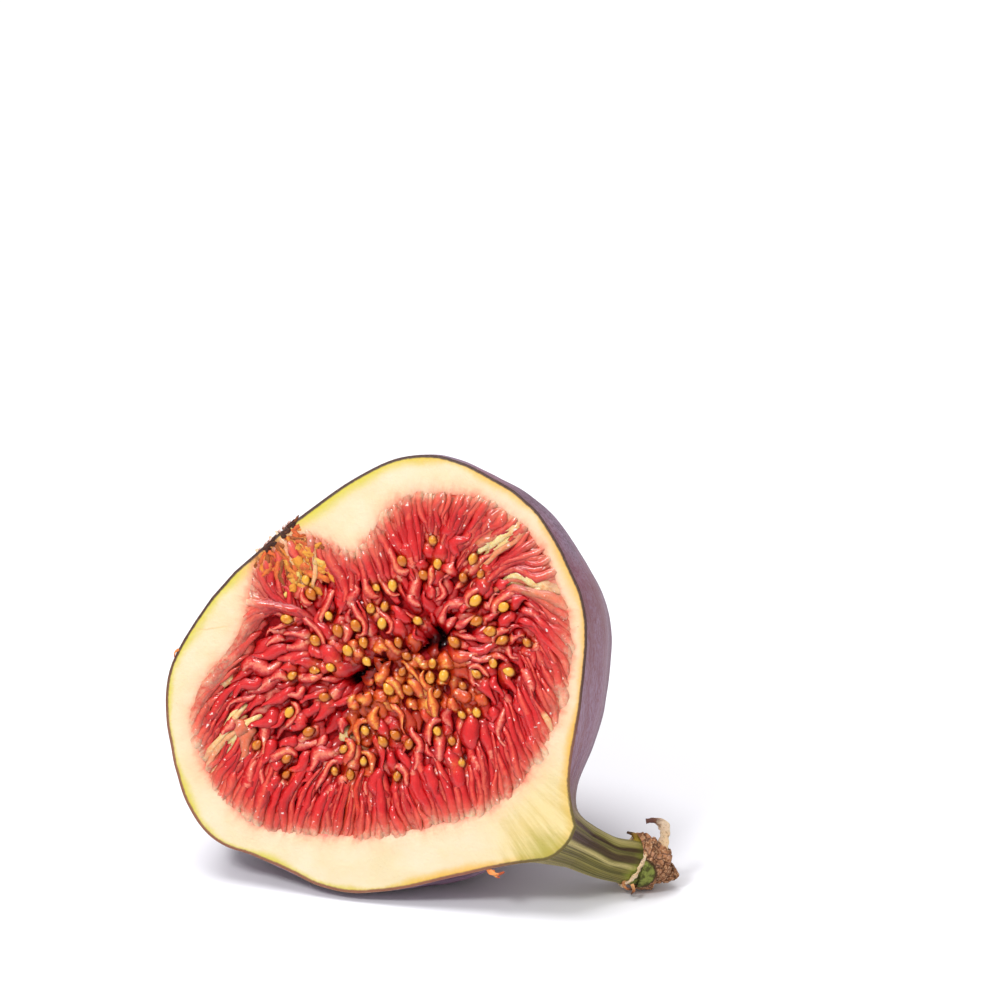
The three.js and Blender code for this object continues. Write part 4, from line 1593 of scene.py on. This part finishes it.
seed_mesh = master_seed()
seeds = bmesh.new()
tone_layer = seeds.verts.layers.float.new("tone")
crown_layer = seeds.verts.layers.float.new("crown")
for place in seed_places:
    before = len(seeds.verts)
    seeds.from_mesh(seed_mesh)
    seeds.verts.ensure_lookup_table()
    goal = nearest_in_crease(place) - place
    heading = math.atan2(goal.y, goal.x) + rng.uniform(-0.8, 0.8)
    size = rng.uniform(0.8, 1.12)
    turn = Matrix.Rotation(heading, 4, "Z") @ Matrix.Rotation(rng.uniform(-0.4, 0.4), 4, "Y")
    turn = turn @ Matrix.Scale(size, 4)
    tone = rng.random()
    lift = Vector((0, 0, SEED_LIFT + rng.uniform(-0.12, 0.08)))
    for vertex in seeds.verts[before:]:
        turned = turn @ vertex.co
        vertex[crown_layer] = turned.z / SEED_HALF[2]
        vertex.co = place + lift + turned
        vertex[tone_layer] = tone
finish_piece("fig_seeds", seeds, [seed_finish()])

# %% [markdown]
# ## Floor, light and background
# A pale floor and a white world give the high key of a fruit shot on white. A broad sun, almost overhead,
# shapes the fruit, the white world fills the shadow, and a small light gives the wet pulp its glints.

# %% Floor
FLOOR_HALF = 3.0  # metres
floor_mesh = bpy.data.meshes.new("floor")
bm = bmesh.new()
bmesh.ops.create_grid(bm, x_segments=1, y_segments=1, size=FLOOR_HALF)
bm.to_mesh(floor_mesh)
bm.free()
floor = bpy.data.objects.new("floor", floor_mesh)
bpy.context.collection.objects.link(floor)
white = Finish("floor_white")
white.set(Base_Color=paint(238, 238, 242), Roughness=0.6)
floor_mesh.materials.append(white.material)

# %% World
WORLD_COLOUR = (0.985, 0.982, 0.99, 1.0)
WORLD_STRENGTH = 0.6
world = bpy.data.worlds.new("white_room")
world.use_nodes = True
background = world.node_tree.nodes["Background"]
background.inputs["Color"].default_value = WORLD_COLOUR
background.inputs["Strength"].default_value = WORLD_STRENGTH
bpy.context.scene.world = world
print("world strength", WORLD_STRENGTH)

# %% Lights
LIGHT_TARGET = Vector((0, 0, 0.02))


def add_light(name, kind, place, power, **settings):
    data = bpy.data.lights.new(name, kind)
    data.energy = power
    for key, value in settings.items():
        setattr(data, key, value)
    light = bpy.data.objects.new(name, data)
    light.location = place
    light.rotation_euler = (Vector(place) - LIGHT_TARGET).to_track_quat("Z", "Y").to_euler()
    bpy.context.collection.objects.link(light)


KEY_PLACE, KEY_STRENGTH, KEY_WIDTH = (-0.2, 0.1, 0.85), 2.1, math.radians(34)
SPARKLE_PLACE, SPARKLE_WATTS, SPARKLE_SIZE = (-0.25, -0.3, 0.45), 1.5, 0.12
add_light("key", "SUN", KEY_PLACE, KEY_STRENGTH, angle=KEY_WIDTH)
add_light("sparkle", "AREA", SPARKLE_PLACE, SPARKLE_WATTS, size=SPARKLE_SIZE)
bpy.context.scene.view_settings.view_transform = "Standard"
print("lights set")
